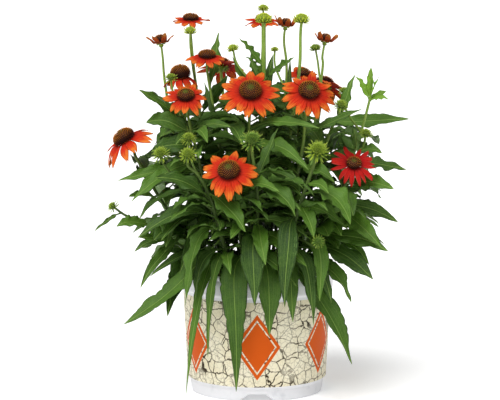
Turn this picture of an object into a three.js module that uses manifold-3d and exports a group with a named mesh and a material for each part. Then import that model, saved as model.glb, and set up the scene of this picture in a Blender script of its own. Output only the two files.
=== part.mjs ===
// Potted coneflower: a leafy clump with orange blooms, in a white plastic pot.
// Millimetres, +Z up. The origin is on the ground under the middle of the pot, and the front faces -Y.
import * as THREE from "three";
import { mergeVertices } from "three/addons/utils/BufferGeometryUtils.js";
import Module from "manifold-3d";

const wasm = await Module();
wasm.setup();

// Pot
const potSides = 28;
const rimRadius = 95;
const rimTop = 155;
const soilTop = 140;
const stemFoot = 119;
const stemClear = 1.1;
const holeDepth = 40;
const notchHeight = 9;
const notchTopWidth = 20;
const notchFootWidth = 44;

// Plant
const stemSides = 4;
const stemPieces = 5;
const ribHalf = 0.55;
const footHeight = 146;
const leafStalk = 0.14;
const leafFold = 0.28;
const petioleHalf = 1.1;
const discShare = 0.62;
const rayWidest = 0.62;
const bareEnd = [139, -10, 366];

// Room between neighbours: leaves are tested at points this far apart, and keep this far from others.
const touchStep = 4;
const touchReach = 4.8;
const stemReach = 5.2;
const cellSize = 6;
const firstBloomOwner = 100;

// Leaves that grow by rule: how many tiers, where they start, and how far apart the tiers are.
const tiers = 4;
const firstTier = 164;
const tierStep = 44;
const highestRoot = 345;

// The outline that their tips stay in: a cone up from the pot, a cylinder, and a dome above.
const clumpReach = 156;
const lowestTip = 60;
const lowReach = 60;
const lowFlare = 0.5;
const topReach = 490;
const topTaper = 1.15;

const colours = {
  plastic: 0xf2f2f4,
  nursery: 0x1c1c1e,
  soil: 0x2e2118,
  leaf: 0x4f7f2c,
  orange: 0xe2592a,
  red: 0xcf2b2b,
  brown: 0x4a1c0e,
};

// Stems: the foot on the soil, the points it passes, and its radius at the foot and at the top.
// A bloom or bud at the end of a stem adds the last points itself.
const stems = [
  { foot: [-4, -22], way: [[-8, -40, 230], [-10, -52, 310]], thick: [2.6, 1.9] },
  { foot: [24, -28], way: [[40, -48, 230], [55, -62, 310]], thick: [2.6, 1.9] },
  { foot: [-14, -42], way: [[-22, -70, 210], [-28, -105, 258]], thick: [2.6, 1.9] },
  { foot: [-38, -12], way: [[-80, -20, 190], [-113, -28, 233], [-146, -30, 290]], thick: [2.6, 1.9] },
  { foot: [-26, -28], way: [[-52, -42, 220], [-75, -52, 310]], thick: [2.6, 1.8] },
  { foot: [-18, 4], way: [[-35, 5, 240], [-52, 6, 340]], thick: [2.4, 1.6] },
  { foot: [-28, 20], way: [[-55, 28, 250], [-75, 38, 370]], thick: [2.4, 1.6] },
  { foot: [36, -26], way: [[70, -45, 200], [102, -66, 258]], thick: [2.6, 1.9] },
  { foot: [20, 8], way: [[38, 12, 240], [53, 12, 330]], thick: [2.4, 1.7] },
  { foot: [0, 26], way: [[2, 36, 250], [5, 48, 370]], thick: [2.4, 1.7] },
  { foot: [-42, 14], way: [[-62, 18, 230], [-86, 20, 320]], thick: [2.5, 1.8] },
  { foot: [-46, 30], way: [[-80, 35, 230], [-103, 38, 310], [-114, 39, 376]], thick: [2.4, 1.5] },
  { foot: [12, 2], way: [[22, 6, 240], [36, 12, 380]], thick: [2.4, 1.5] },
  { foot: [34, 12], way: [[55, 18, 230], [72, 24, 330], [81, 28, 395]], thick: [2.4, 1.5] },
  { foot: [2, -4], way: [[5, -10, 250], [8, -14, 370]], thick: [3.6, 3.0] },
  { foot: [16, -12], way: [[30, -20, 250], [50, -31, 388]], thick: [2.6, 2.0] },
  { foot: [2, -48], way: [[0, -75, 200], [0, -105, 262]], thick: [2.8, 2.0] },
  { foot: [22, -50], way: [[36, -80, 190], [51, -105, 245]], thick: [2.8, 2.2] },
  { foot: [48, -16], way: [[85, -32, 210], [120, -44, 295]], thick: [2.5, 1.6] },
  { foot: [50, 6], way: [[90, 0, 220], [124, -6, 310]], thick: [2.5, 1.8] },
  { foot: [34, -2], way: [[62, -26, 240], [88, -50, 325]], thick: [2.5, 1.8] },
  { foot: [-56, -22], way: [[-95, -32, 185], [-140, -38, 214]], thick: [2.5, 1.7] },
  { foot: [-24, -50], way: [[-42, -82, 200], [-56, -100, 252], [-70, -114, 282]], thick: [2.8, 2.0] },
  { foot: [-10, 46], way: [[-30, 75, 240]], thick: [2.6, 1.9] },
  { foot: [30, 44], way: [[60, 70, 230]], thick: [2.6, 1.9] },
];

// Blooms, in the order of the stems that bear them: the middle of the ray disc, how far the face leans
// from straight up and towards which side (degrees, 0 = +X, -90 = the front), the cone's radius and
// height, the rays' number, length and half width, how far they rise at the root and how far their
// tips hang. The hub is the ray disc's radius as a share of the cone's.
const blooms = [
  { stem: 0, at: [-8, -60, 376], lean: 46, side: -88, cone: [14.5, 12],
    rays: 14, long: 28, half: 5.4, rise: 6, hang: 6 },
  { stem: 1, at: [62, -70, 377], lean: 47, side: -80, cone: [13.5, 11],
    rays: 15, long: 25, half: 4.9, rise: 5, hang: 12 },
  { stem: 2, at: [-33, -129, 288], lean: 44, side: -100, cone: [14, 12],
    rays: 13, long: 25, half: 5.4, rise: 6, hang: 8 },
  { stem: 3, at: [-160, -29, 314], lean: 34, side: -160, cone: [14.5, 15],
    rays: 12, long: 31, half: 5.4, rise: 2, hang: 20 },
  { stem: 4, at: [-86, -55, 369], lean: 30, side: -95, cone: [11, 10],
    rays: 14, long: 22, half: 4.3, rise: 6, hang: 8 },
  { stem: 5, at: [-61, 2, 413], lean: 14, side: -90, cone: [11, 8],
    rays: 11, long: 18, half: 4.2, rise: 2, hang: 20 },
  { stem: 6, at: [-82, 45, 455], lean: 8, side: -90, cone: [10, 8],
    rays: 11, long: 16, half: 3.8, rise: 2, hang: 4 },
  { stem: 7, at: [116, -76, 290], lean: 40, side: -85, cone: [9.5, 8],
    rays: 17, long: 22, half: 2.9, rise: 6, hang: 8 },
  { stem: 8, at: [57, 10, 391], lean: 22, side: -90, cone: [8.5, 7],
    rays: 10, long: 14, half: 3.8, rise: 6, hang: 8 },
  { stem: 9, at: [8, 55, 453], lean: 15, side: -90, cone: [10, 9],
    rays: 10, long: 17, half: 3.8, rise: 4, hang: 6 },
  { stem: 10, at: [-94, 20, 386], lean: 8, side: -120, cone: [13, 17],
    rays: 9, long: 17, half: 4.2, rise: -15, hang: 46 },
  { stem: 11, at: [-119, 40, 427], lean: 8, side: 150, cone: [8, 11],
    rays: 8, long: 12, half: 2.8, rise: 62, hang: -54, hub: 1.15 },
  { stem: 12, at: [35, 15, 450], lean: 6, side: 30, cone: [7, 10],
    rays: 7, long: 12, half: 2.8, rise: 70, hang: -58, hub: 1.2 },
  { stem: 13, at: [84, 30, 430], lean: 10, side: 20, cone: [7, 10],
    rays: 7, long: 12, half: 2.8, rise: 66, hang: -54, hub: 1.2 },
  { stem: 23, at: [-45, 110, 390], lean: 30, side: 95, cone: [13, 12],
    rays: 10, long: 24, half: 5.2, rise: 6, hang: 15 },
  { stem: 24, at: [85, 95, 368], lean: 32, side: 70, cone: [12.5, 12],
    rays: 10, long: 24, half: 5.2, rise: 6, hang: 18 },
];

// Green buds: the stem, the height where the side branch leaves it (0 = it ends the stem), the bud's
// middle, its radius, and how far and to which side it leans.
const buds = [
  { stem: 14, from: 0, at: [8, -15, 462], size: 11, lean: 4, side: -90 },
  { stem: 15, from: 0, at: [54, -32, 463], size: 10.5, lean: 8, side: -60 },
  { stem: 16, from: 0, at: [-6, -125, 326], size: 12, lean: 35, side: -90 },
  { stem: 17, from: 0, at: [72, -120, 313], size: 12.5, lean: 40, side: -75 },
  { stem: 18, from: 0, at: [132, -48, 325], size: 7, lean: 20, side: -60 },
  { stem: 20, from: 0, at: [101, -63, 361], size: 8, lean: 25, side: -60 },
  { stem: 21, from: 0, at: [-176, -41, 234], size: 7, lean: 55, side: 180 },
  { stem: 22, from: 0, at: [-82, -124, 309], size: 9, lean: 38, side: -90 },
  { stem: 22, from: 236, at: [-115, -104, 307], size: 9.5, lean: 38, side: -110 },
  { stem: 22, from: 262, at: [-82, -97, 325], size: 8, lean: 20, side: -90 },
  { stem: 9, from: 392, at: [8, 92, 467], size: 7.5, lean: 5, side: 90 },
  { stem: 6, from: 372, at: [-82, 12, 445], size: 8, lean: 10, side: -90 },
  { stem: 13, from: 378, at: [72, 34, 422], size: 7.5, lean: 10, side: 180 },
  { stem: 14, from: 372, at: [-30, -6, 425], size: 7.5, lean: 15, side: 180 },
  { stem: 12, from: 372, at: [22, 34, 420], size: 5, lean: 10, side: 90 },
  { stem: 4, from: 318, at: [-105, -34, 391], size: 7, lean: 10, side: 160 },
  { stem: 19, from: 322, at: [106, -24, 374], size: 6, lean: 20, side: -90 },
  { stem: 17, from: 206, at: [72, -147, 208], size: 6.5, lean: 60, side: -80 },
];

// Leaves placed by hand: the stem, the height they leave it at, the tip, how far out the bend lies
// (0 to 1), the bend's lift, the width and the roll in degrees. The rest grow by rule.
const leaves = [
  { stem: 2, from: 168, tip: [-25, -117, 20], reach: 1, lift: 120, wide: 34, roll: 0 },
  { stem: 7, from: 190, tip: [140, -88, 151], reach: 0.5, lift: 18, wide: 30, roll: 30 },
  { stem: 17, from: 180, tip: [113, -114, 52], reach: 0.6, lift: 24, wide: 34, roll: 20 },
  { stem: 16, from: 174, tip: [15, -116, 88], reach: 1, lift: 72, wide: 38, roll: 0 },
  { stem: 22, from: 258, tip: [-13, -150, 222], reach: 0.5, lift: 12, wide: 29, roll: 10 },
  { stem: 16, from: 262, tip: [47, -150, 240], reach: 0.5, lift: 26, wide: 28, roll: 25 },
  { stem: 16, from: 203, tip: [57, -132, 172], reach: 0.5, lift: 24, wide: 30, roll: 25 },
  { stem: 18, from: 225, tip: [147, -100, 195], reach: 0.5, lift: 20, wide: 28, roll: 30 },
  { stem: 22, from: 202, tip: [-161, -120, 105], reach: 0.5, lift: -22, wide: 26, roll: -35 },
  { stem: 22, from: 215, tip: [-83, -121, 124], reach: 1, lift: 50, wide: 25, roll: 0 },
  { stem: 4, from: 172, tip: [-86, -124, 16], reach: 0.65, lift: 112, wide: 15, roll: 0 },
  { stem: 22, from: 174, tip: [-58, -110, 60], reach: 1, lift: 94, wide: 14, roll: 0 },
  { stem: 4, from: 220, tip: [-94, -110, 162], reach: 0.5, lift: 18, wide: 20, roll: -40 },
  { stem: 16, from: 220, tip: [9, -145, 180], reach: 0.5, lift: 14, wide: 21, roll: 10 },
  { stem: 16, from: 226, tip: [64, -120, 204], reach: 0.5, lift: 12, wide: 17, roll: 30 },
  { stem: 17, from: 244, tip: [67, -145, 211], reach: 0.6, lift: 16, wide: 21, roll: 0 },
  { stem: 7, from: 212, tip: [74, -128, 132], reach: 0.9, lift: 32, wide: 20, roll: 0 },
  { stem: 7, from: 204, tip: [157, -88, 187], reach: 0.5, lift: 12, wide: 24, roll: 45 },
  { stem: 7, from: 258, tip: [114, -126, 236], reach: 0.5, lift: 14, wide: 25, roll: 0 },
  { stem: 18, from: 240, tip: [173, -60, 215], reach: 0.5, lift: 6, wide: 20, roll: 50 },
  { stem: 19, from: 280, tip: [186, 22, 271], reach: 0.5, lift: 8, wide: 17, roll: 40 },
  { stem: 13, from: 325, tip: [190, 44, 331], reach: 0.5, lift: 6, wide: 18, roll: 50 },
  { stem: 0, from: 330, tip: [74, -97, 338], reach: 0.5, lift: 14, wide: 15, roll: 40 },
  { stem: 7, from: 174, tip: [115, -102, 127], reach: 0.6, lift: 22, wide: 22, roll: 20 },
  { stem: 17, from: 180, tip: [42, -119, 106], reach: 0.9, lift: 40, wide: 22, roll: 0 },
  { stem: 17, from: 186, tip: [66, -122, 102], reach: 0.9, lift: 60, wide: 22, roll: 0 },
  { stem: 4, from: 292, tip: [-152, -96, 250], reach: 0.5, lift: 10, wide: 22, roll: -35 },
  { stem: 4, from: 276, tip: [-168, -72, 268], reach: 0.5, lift: 14, wide: 18, roll: -45 },
  { stem: 10, from: 325, tip: [-146, 4, 372], reach: 0.5, lift: 8, wide: 17, roll: -50 },
  { stem: 4, from: 322, tip: [-134, -57, 338], reach: 0.5, lift: 18, wide: 26, roll: -50 },
  { stem: 4, from: 308, tip: [-128, -76, 304], reach: 0.5, lift: 14, wide: 25, roll: -45 },
  { stem: 22, from: 250, tip: [-121, -118, 279], reach: 0.5, lift: 18, wide: 24, roll: -40 },
  { stem: 21, from: 192, tip: [-144, -76, 202], reach: 0.5, lift: 0, wide: 17, roll: -40 },
  { stem: 21, from: 186, tip: [-140, -102, 144], reach: 0.5, lift: 26, wide: 15, roll: -20 },
  { stem: 21, from: 208, tip: [-170, -66, 215], reach: 0.5, lift: 10, wide: 19, roll: -40 },
  { stem: 21, from: 226, tip: [-195, -100, 212], reach: 0.5, lift: 6, wide: 7, roll: 0 },
  { stem: 14, from: 400, tip: [-22, -18, 438], reach: 0.5, lift: 4, wide: 13, roll: -40 },
  { stem: 14, from: 384, tip: [46, -46, 416], reach: 0.5, lift: 4, wide: 16, roll: 40 },
  { stem: 17, from: 258, tip: [110, -132, 226], reach: 0.75, lift: 34, wide: 30, roll: 20 },
  { stem: 6, from: 338, tip: [-36, 8, 390], reach: 0.5, lift: -4, wide: 19, roll: -20 },
  { stem: 14, from: 368, tip: [-9, 14, 408], reach: 0.4, lift: 2, wide: 18, roll: 0 },
  { stem: 14, from: 392, tip: [-13, -28, 417], reach: 0.5, lift: 3, wide: 11, roll: -40 },
  { stem: 5, from: 372, tip: [-48, 54, 440], reach: 0.5, lift: -4, wide: 16, roll: -20 },
  { stem: 14, from: 350, tip: [-32, -2, 414], reach: 0.5, lift: -12, wide: 13, roll: -30 },
  { stem: 14, from: 356, tip: [19, 4, 417], reach: 0.5, lift: -6, wide: 11, roll: 20 },
  { stem: 15, from: 332, tip: [38, -4, 410], reach: 0.5, lift: -10, wide: 13, roll: 30 },
  { stem: 5, from: 320, tip: [-66, -18, 384], reach: 0.5, lift: -4, wide: 15, roll: -30 },
  { stem: 4, from: 328, tip: [-31, -82, 335], reach: 0.5, lift: 12, wide: 16, roll: 40 },
  { stem: 16, from: 274, tip: [24, -84, 336], reach: 0.5, lift: -6, wide: 17, roll: 0 },
  { stem: 14, from: 284, tip: [49, -64, 279], reach: 0.5, lift: 10, wide: 18, roll: 40 },
  { stem: 1, from: 284, tip: [93, -94, 272], reach: 0.5, lift: 12, wide: 18, roll: 40 },
  { stem: 1, from: 324, tip: [126, -88, 358], reach: 0.5, lift: 4, wide: 16, roll: 40 },
  { stem: 20, from: 340, tip: [117, -38, 397], reach: 0.5, lift: -6, wide: 12, roll: 30 },
  { stem: 18, from: 300, tip: [116, -66, 332], reach: 0.5, lift: -2, wide: 12, roll: 0 },
  { stem: 18, from: 300, tip: [152, -68, 300], reach: 0.5, lift: 10, wide: 13, roll: 40 },
  { stem: 18, from: 258, tip: [164, -88, 262], reach: 0.5, lift: 14, wide: 22, roll: 45 },
  { stem: 23, from: 200, tip: [52, 88, 214], reach: 0.5, lift: 22, wide: 30, roll: 55 },
  { stem: 23, from: 236, tip: [-108, 84, 226], reach: 0.5, lift: 22, wide: 30, roll: -55 },
  { stem: 23, from: 278, tip: [46, 98, 292], reach: 0.5, lift: 18, wide: 30, roll: 55 },
  { stem: 23, from: 312, tip: [-112, 100, 304], reach: 0.5, lift: 20, wide: 28, roll: -50 },
  { stem: 24, from: 250, tip: [-16, 58, 264], reach: 0.5, lift: 18, wide: 30, roll: -55 },
  { stem: 24, from: 214, tip: [132, 88, 204], reach: 0.5, lift: 22, wide: 30, roll: 55 },
  { stem: 24, from: 290, tip: [140, 92, 284], reach: 0.5, lift: 20, wide: 28, roll: 50 },
  { stem: 9, from: 302, tip: [70, 52, 326], reach: 0.5, lift: 12, wide: 28, roll: 55 },
  { stem: 9, from: 280, tip: [-62, 52, 298], reach: 0.5, lift: 12, wide: 28, roll: -55 },
  { stem: 9, from: 338, tip: [58, 64, 352], reach: 0.5, lift: 10, wide: 26, roll: 50 },
  { stem: 9, from: 345, tip: [-50, 62, 352], reach: 0.5, lift: 10, wide: 26, roll: -50 },
  { stem: 10, from: 336, tip: [-131, -14, 370], reach: 0.5, lift: 4, wide: 14, roll: -30 },
  { stem: 19, from: 362, tip: [139, -14, 402], reach: 0.3, lift: 4, wide: 8, roll: 0 },
  { stem: 19, from: 362, tip: [150, -20, 389], reach: 0.4, lift: 6, wide: 7, roll: 40 },
  { stem: 19, from: 360, tip: [160, -24, 364], reach: 0.5, lift: 6, wide: 7, roll: 40 },
  { stem: 19, from: 358, tip: [160, 10, 370], reach: 0.5, lift: 6, wide: 7, roll: 40 },
  { stem: 19, from: 360, tip: [121, -2, 390], reach: 0.4, lift: 4, wide: 8, roll: -40 },
];

function vec(p) {
  return new THREE.Vector3(p[0], p[1], p[2]);
}

// Repeatable random numbers between 0 and 1.
function makeRandom(seed) {
  let state = seed;
  return () => {
    state = (state * 1664525 + 1013904223) % 4294967296;
    return state / 4294967296;
  };
}

// The unit vector that leans by the given angle from straight up towards the given side.
function leaning(lean, side) {
  const a = THREE.MathUtils.degToRad(lean);
  const b = THREE.MathUtils.degToRad(side);
  return new THREE.Vector3(Math.sin(a) * Math.cos(b), Math.sin(a) * Math.sin(b), Math.cos(a));
}

// A point of the smooth curve through the given points, for t from 0 to 1.
function curvePoint(points, t) {
  const last = points.length - 1;
  const x = t * last;
  const i = Math.min(Math.floor(x), last - 1);
  const f = x - i;
  const a = points[Math.max(i - 1, 0)];
  const b = points[i];
  const c = points[i + 1];
  const d = points[Math.min(i + 2, last)];
  const weights = [
    0.5 * (-f + 2 * f * f - f * f * f),
    0.5 * (2 - 5 * f * f + 3 * f * f * f),
    0.5 * (f + 4 * f * f - 3 * f * f * f),
    0.5 * (-f * f + f * f * f),
  ];
  const at = new THREE.Vector3();
  [a, b, c, d].forEach((p, k) => at.addScaledVector(p, weights[k]));
  return at;
}

// The first point of a path that is as high as the given height.
function pointAtHeight(path, height) {
  for (let k = 1; k < path.length; k++) {
    const [low, high] = [path[k - 1], path[k]];
    if (high.z >= height) {
      const share = (height - low.z) / Math.max(high.z - low.z, 1e-9);
      return low.clone().lerp(high, Math.min(Math.max(share, 0), 1));
    }
  }
  return path[path.length - 1].clone();
}

function samplePath(points, count) {
  return Array.from({ length: count + 1 }, (_, i) => curvePoint(points, i / count));
}

// A closed solid from its corner points and triangles.
function solidOf(points, faces) {
  const vertProperties = new Float32Array(points.flatMap((p) => [p.x, p.y, p.z]));
  const triVerts = new Uint32Array(faces.flat());
  return new wasm.Manifold(new wasm.Mesh({ numProp: 3, vertProperties, triVerts }));
}

// A closed solid from a three.js geometry.
function solidFrom(geometry) {
  const bare = geometry.clone();
  bare.deleteAttribute("normal");
  bare.deleteAttribute("uv");
  const merged = mergeVertices(bare, 1e-4);
  return new wasm.Manifold(
    new wasm.Mesh({
      numProp: 3,
      vertProperties: merged.attributes.position.array,
      triVerts: new Uint32Array(merged.index.array),
    }),
  );
}

// Side faces between rings of points. With "edged", the quads of a blade are split alike on both sides.
function joinRings(faces, first, second, count, edged) {
  for (let j = 0; j < count; j++) {
    const a = first + j;
    const b = first + ((j + 1) % count);
    const c = second + ((j + 1) % count);
    const d = second + j;
    if (edged && j % 2 === 1) faces.push([a, b, d], [b, c, d]);
    else faces.push([a, b, c], [a, c, d]);
  }
}

// A closed solid through rings of points, with a flat end or a pointed one.
function loft(rings, tip, edged) {
  const count = rings[0].length;
  const points = rings.flat();
  const faces = [];
  for (let i = 0; i + 1 < rings.length; i++) joinRings(faces, i * count, (i + 1) * count, count, edged);
  for (let j = 1; j + 1 < count; j++) faces.push([0, j + 1, j]);
  const last = (rings.length - 1) * count;
  if (tip) {
    points.push(tip);
    for (let j = 0; j < count; j++) faces.push([last + j, last + ((j + 1) % count), points.length - 1]);
  } else {
    for (let j = 1; j + 1 < count; j++) faces.push([last, last + j, last + j + 1]);
  }
  return solidOf(points, faces);
}

// A tube along a row of points, with a radius for each.
function tube(path, radii, sides) {
  let across = new THREE.Vector3(1, 0, 0);
  const rings = path.map((at, i) => {
    const before = path[Math.max(i - 1, 0)];
    const after = path[Math.min(i + 1, path.length - 1)];
    const along = after.clone().sub(before).normalize();
    across = across.clone().addScaledVector(along, -across.dot(along)).normalize();
    const up = along.clone().cross(across);
    return Array.from({ length: sides }, (_, j) => {
      const a = (2 * Math.PI * j) / sides;
      return at
        .clone()
        .addScaledVector(across, radii[i] * Math.cos(a))
        .addScaledVector(up, radii[i] * Math.sin(a));
    });
  });
  return loft(rings, null, false);
}

// Half the width of a leaf at s, from 0 at the root to 1 at the tip, with its petiole.
function leafHalf(leaf, s) {
  const stalk = leaf.stalk;
  if (s <= stalk) return petioleHalf;
  const u = (s - stalk) / (1 - stalk);
  const blade = Math.pow(Math.sin(Math.PI * Math.pow(u, 0.75)), 0.9);
  return petioleHalf * (1 - u) + (leaf.wide / 2) * blade;
}

// The middle line of a leaf, its sideways direction and the direction its upper face looks.
function leafFrame(leaf, s) {
  const [a, b, c] = [leaf.root, leaf.bend, leaf.end];
  const at = new THREE.Vector3()
    .addScaledVector(a, (1 - s) * (1 - s))
    .addScaledVector(b, 2 * s * (1 - s))
    .addScaledVector(c, s * s);
  const along = new THREE.Vector3()
    .addScaledVector(b.clone().sub(a), 1 - s)
    .addScaledVector(c.clone().sub(b), s)
    .normalize();
  const heading = Math.atan2(c.y - a.y, c.x - a.x);
  const level = new THREE.Vector3(-Math.sin(heading), Math.cos(heading), 0);
  const face = along.clone().cross(level).normalize();
  const side = face.clone().cross(along);
  const roll = THREE.MathUtils.degToRad(leaf.roll);
  return {
    at,
    side: side.clone().multiplyScalar(Math.cos(roll)).addScaledVector(face, Math.sin(roll)),
    face: face.clone().multiplyScalar(Math.cos(roll)).addScaledVector(side, -Math.sin(roll)),
  };
}

// One edge point of a leaf: sign is 1 for the left edge and -1 for the right one.
function leafEdge(leaf, frame, s, sign) {
  const half = leafHalf(leaf, s);
  const wave = leaf.wave * Math.sin(leaf.turns * s + sign * 0.9) * Math.min(half / 6, 1);
  return frame.at
    .clone()
    .addScaledVector(frame.side, sign * half * Math.cos(leaf.fold))
    .addScaledVector(frame.face, half * Math.sin(leaf.fold) + wave);
}

// Where a leaf has its cross sections: the ones that grow by rule have the fewest.
const leafStops = [
  [0, 0.28, 0.62],
  [0, 0, 0.3, 0.64],
  [0, 0, 0.18, 0.38, 0.6, 0.81],
];

// The solid of one leaf.
function leafSolid(leaf) {
  const rings = leafStops[leaf.detail].map((u, i) => {
    const s = i === 0 ? 0 : leaf.stalk + (1 - leaf.stalk) * u;
    const frame = leafFrame(leaf, s);
    if (i === 0) frame.at = leaf.heel;
    return [
      leafEdge(leaf, frame, s, 1),
      frame.at.clone().addScaledVector(frame.face, ribHalf),
      leafEdge(leaf, frame, s, -1),
      frame.at.clone().addScaledVector(frame.face, -ribHalf),
    ];
  });
  return loft(rings, leaf.end, true);
}

// The points where a leaf is felt for its neighbours, and how many of them are near its root.
function leafTouches(leaf) {
  const length = leaf.root.distanceTo(leaf.bend) + leaf.bend.distanceTo(leaf.end);
  const count = Math.ceil(length / touchStep);
  const points = [];
  let near = 0;
  for (let i = 1; i <= count; i++) {
    const s = i / count;
    const frame = leafFrame(leaf, s);
    const left = leafEdge(leaf, frame, s, 1);
    const right = leafEdge(leaf, frame, s, -1);
    points.push(frame.at);
    if (leafHalf(leaf, s) > 1.5) points.push(left, right);
    if (leafHalf(leaf, s) > 5)
      points.push(left.clone().lerp(frame.at, 0.5), right.clone().lerp(frame.at, 0.5));
    if (s * length < 24) near = points.length;
  }
  return { points, isRoot: (index) => index < near };
}

// The cell of the grid that a point is in.
function cellOf(p) {
  return [p.x, p.y, p.z].map((value) => Math.floor(value / cellSize));
}

// Keeps the touch points of everything grown so far, and tells whether new ones are clear of them.
// Points near a leaf's root may touch their own stem and its other leaves.
class Space {
  constructor() {
    this.cells = new Map();
  }

  cell(i, j, k) {
    return this.cells.get(`${i},${j},${k}`) ?? [];
  }

  add(points, owner, isRoot, reach) {
    points.forEach((p, index) => {
      const key = cellOf(p).join();
      if (!this.cells.has(key)) this.cells.set(key, []);
      this.cells.get(key).push({ p, owner, root: isRoot(index), reach: reach * reach });
    });
  }

  touches(p, owner, root) {
    const [i, j, k] = cellOf(p);
    for (let a = i - 1; a <= i + 1; a++)
      for (let b = j - 1; b <= j + 1; b++)
        for (let c = k - 1; c <= k + 1; c++)
          for (const other of this.cell(a, b, c)) {
            if (other.owner === owner && (root || other.root)) continue;
            if (p.distanceToSquared(other.p) < other.reach) return true;
          }
    return false;
  }

  isClear(points, owner, isRoot) {
    return points.every((p, index) => outsidePot(p) && !this.touches(p, owner, isRoot(index)));
  }
}

// Leaves stay clear of the pot's wall and of the ground.
function outsidePot(p) {
  const out = Math.hypot(p.x, p.y);
  if (p.z < 5) return false;
  if (p.z > rimTop + 7 || out > rimRadius + 4) return true;
  return p.z > soilTop + 8 && out < rimRadius - 13;
}

// One leaf from its stem, its tip and its bend.
function makeLeaf(row, tip, lift, random) {
  const root = pointAtHeight(finePaths[row.stem], row.from);
  const bend = root.clone().lerp(tip, row.reach);
  bend.z = (root.z + tip.z) / 2 + lift;
  return {
    root,
    bend,
    end: tip,
    wide: row.wide,
    roll: row.roll,
    stalk: leafStalk,
    fold: leafFold,
    wave: row.wide > 20 ? 2.2 : 1.1,
    turns: 8 + 5 * random,
    stem: row.stem,
    detail: row.detail ?? (row.wide > 30 ? 2 : row.wide > 20 ? 1 : 0),
    heel: pointAtHeight(coarsePaths[row.stem], row.from),
  };
}

// Tries small shifts of a leaf, the least first, until it is clear.
function placeLeaf(row, space, random) {
  const tip = vec(row.tip);
  for (let k = 0; k < 40; k++) {
    const grow = Math.ceil(k / 4) * 2.5;
    const turn = k % 4;
    const shift = new THREE.Vector3(0, turn === 0 ? -grow : turn === 1 ? grow : 0, turn === 2 ? grow : 0);
    const lift = row.lift + (turn === 3 ? grow : 0);
    const leaf = makeLeaf(row, tip.clone().add(shift), lift, random);
    const touches = leafTouches(leaf);
    if (space.isClear(touches.points, row.stem, touches.isRoot)) return leaf;
  }
  return null;
}

// Whether a leaf passes in front of a bloom and would hide it.
function hidesBloom(leaf) {
  const along = [0.5, 0.75, 1].map((s) => leafFrame(leaf, s).at);
  return blooms.some((bloom) =>
    along.some((p) => {
      const away = Math.hypot(p.x - bloom.at[0], p.z - bloom.at[2]);
      return p.y < bloom.at[1] && away < bloom.cone[0] + bloom.long;
    }),
  );
}

// A leaf grown by rule: it turns about its stem until it is clear and hides no bloom.
function growLeaf(stem, from, heading, length, drop, wide, space, random) {
  const root = pointAtHeight(finePaths[stem], from);
  for (let k = 0; k < 36; k++) {
    const turn = heading + (k % 2 ? 1 : -1) * Math.ceil(k / 2) * 0.17;
    const fall = drop * (k % 3 === 2 ? 0.4 : 1);
    const away = new THREE.Vector3(length * Math.cos(turn), length * Math.sin(turn), -fall);
    const tip = root.clone().add(away);
    const widest = Math.min(clumpReach, lowReach + lowFlare * tip.z, topReach - topTaper * tip.z);
    const inside = Math.max(Math.abs(tip.x), Math.abs(tip.y)) < widest && tip.z > lowestTip;
    const row = { stem, from, reach: 0.5, wide, roll: (random - 0.5) * 70, detail: 0 };
    const leaf = makeLeaf(row, tip, length * 0.34, random);
    const touches = leafTouches(leaf);
    const fits = inside && !hidesBloom(leaf);
    if (fits && space.isClear(touches.points, stem, touches.isRoot)) return leaf;
  }
  return null;
}

// The three directions of a bloom: across, towards its other side, and the way it faces.
function bloomAxes(bloom) {
  const w = leaning(bloom.lean, bloom.side);
  const u = new THREE.Vector3(0, 1, 0.1).cross(w).normalize();
  return { u, v: w.clone().cross(u), w };
}

// A point of a bloom from its distance to the axis, its angle and its height.
function onBloom(bloom, axes, out, angle, high) {
  return vec(bloom.at)
    .addScaledVector(axes.u, out * Math.cos(angle))
    .addScaledVector(axes.v, out * Math.sin(angle))
    .addScaledVector(axes.w, high);
}

// The radius of the disc that the rays of a bloom stand on.
function discRadius(bloom) {
  return bloom.cone[0] * (bloom.hub ?? discShare);
}

// The angle, length and hang of one ray of a bloom.
function rayOf(bloom, i, random) {
  return {
    angle: (2 * Math.PI * (i + 0.5)) / bloom.rays,
    long: bloom.long * (0.86 + 0.24 * random()),
    hang: THREE.MathUtils.degToRad(bloom.hang + 16 * (random() - 0.5)),
    rise: THREE.MathUtils.degToRad(bloom.rise),
    bow: 0.6 * (random() - 0.5),
  };
}

// A point on a ray: s from 0 at the root to 1 at the tip, side from -1 to 1, and the height above its
// middle.
function onRay(bloom, axes, ray, s, side, high) {
  const near = s * (1 - s) * ray.long;
  const far = s * s * ray.long;
  const out = discRadius(bloom) + near * Math.cos(ray.rise) + far * Math.cos(ray.hang);
  const up = near * Math.sin(ray.rise) - far * Math.sin(ray.hang);
  const middle = onBloom(bloom, axes, out, ray.angle, up + high);
  const sideways = axes.v
    .clone()
    .multiplyScalar(Math.cos(ray.angle))
    .addScaledVector(axes.u, -Math.sin(ray.angle));
  return middle.addScaledVector(sideways, side * rayHalf(bloom, s) + ray.bow * 6 * s * s);
}

// Half the width of a ray at s: it widens up to rayWidest and narrows again to its tip.
function rayHalf(bloom, s) {
  const root = discRadius(bloom) * Math.sin(Math.PI / bloom.rays);
  const swell = Math.sin((Math.min(s / rayWidest, 1) * Math.PI) / 2);
  const taper = Math.max(s - rayWidest, 0) / (1 - rayWidest);
  return root + (bloom.half - root) * swell - 0.35 * bloom.half * taper;
}

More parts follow.
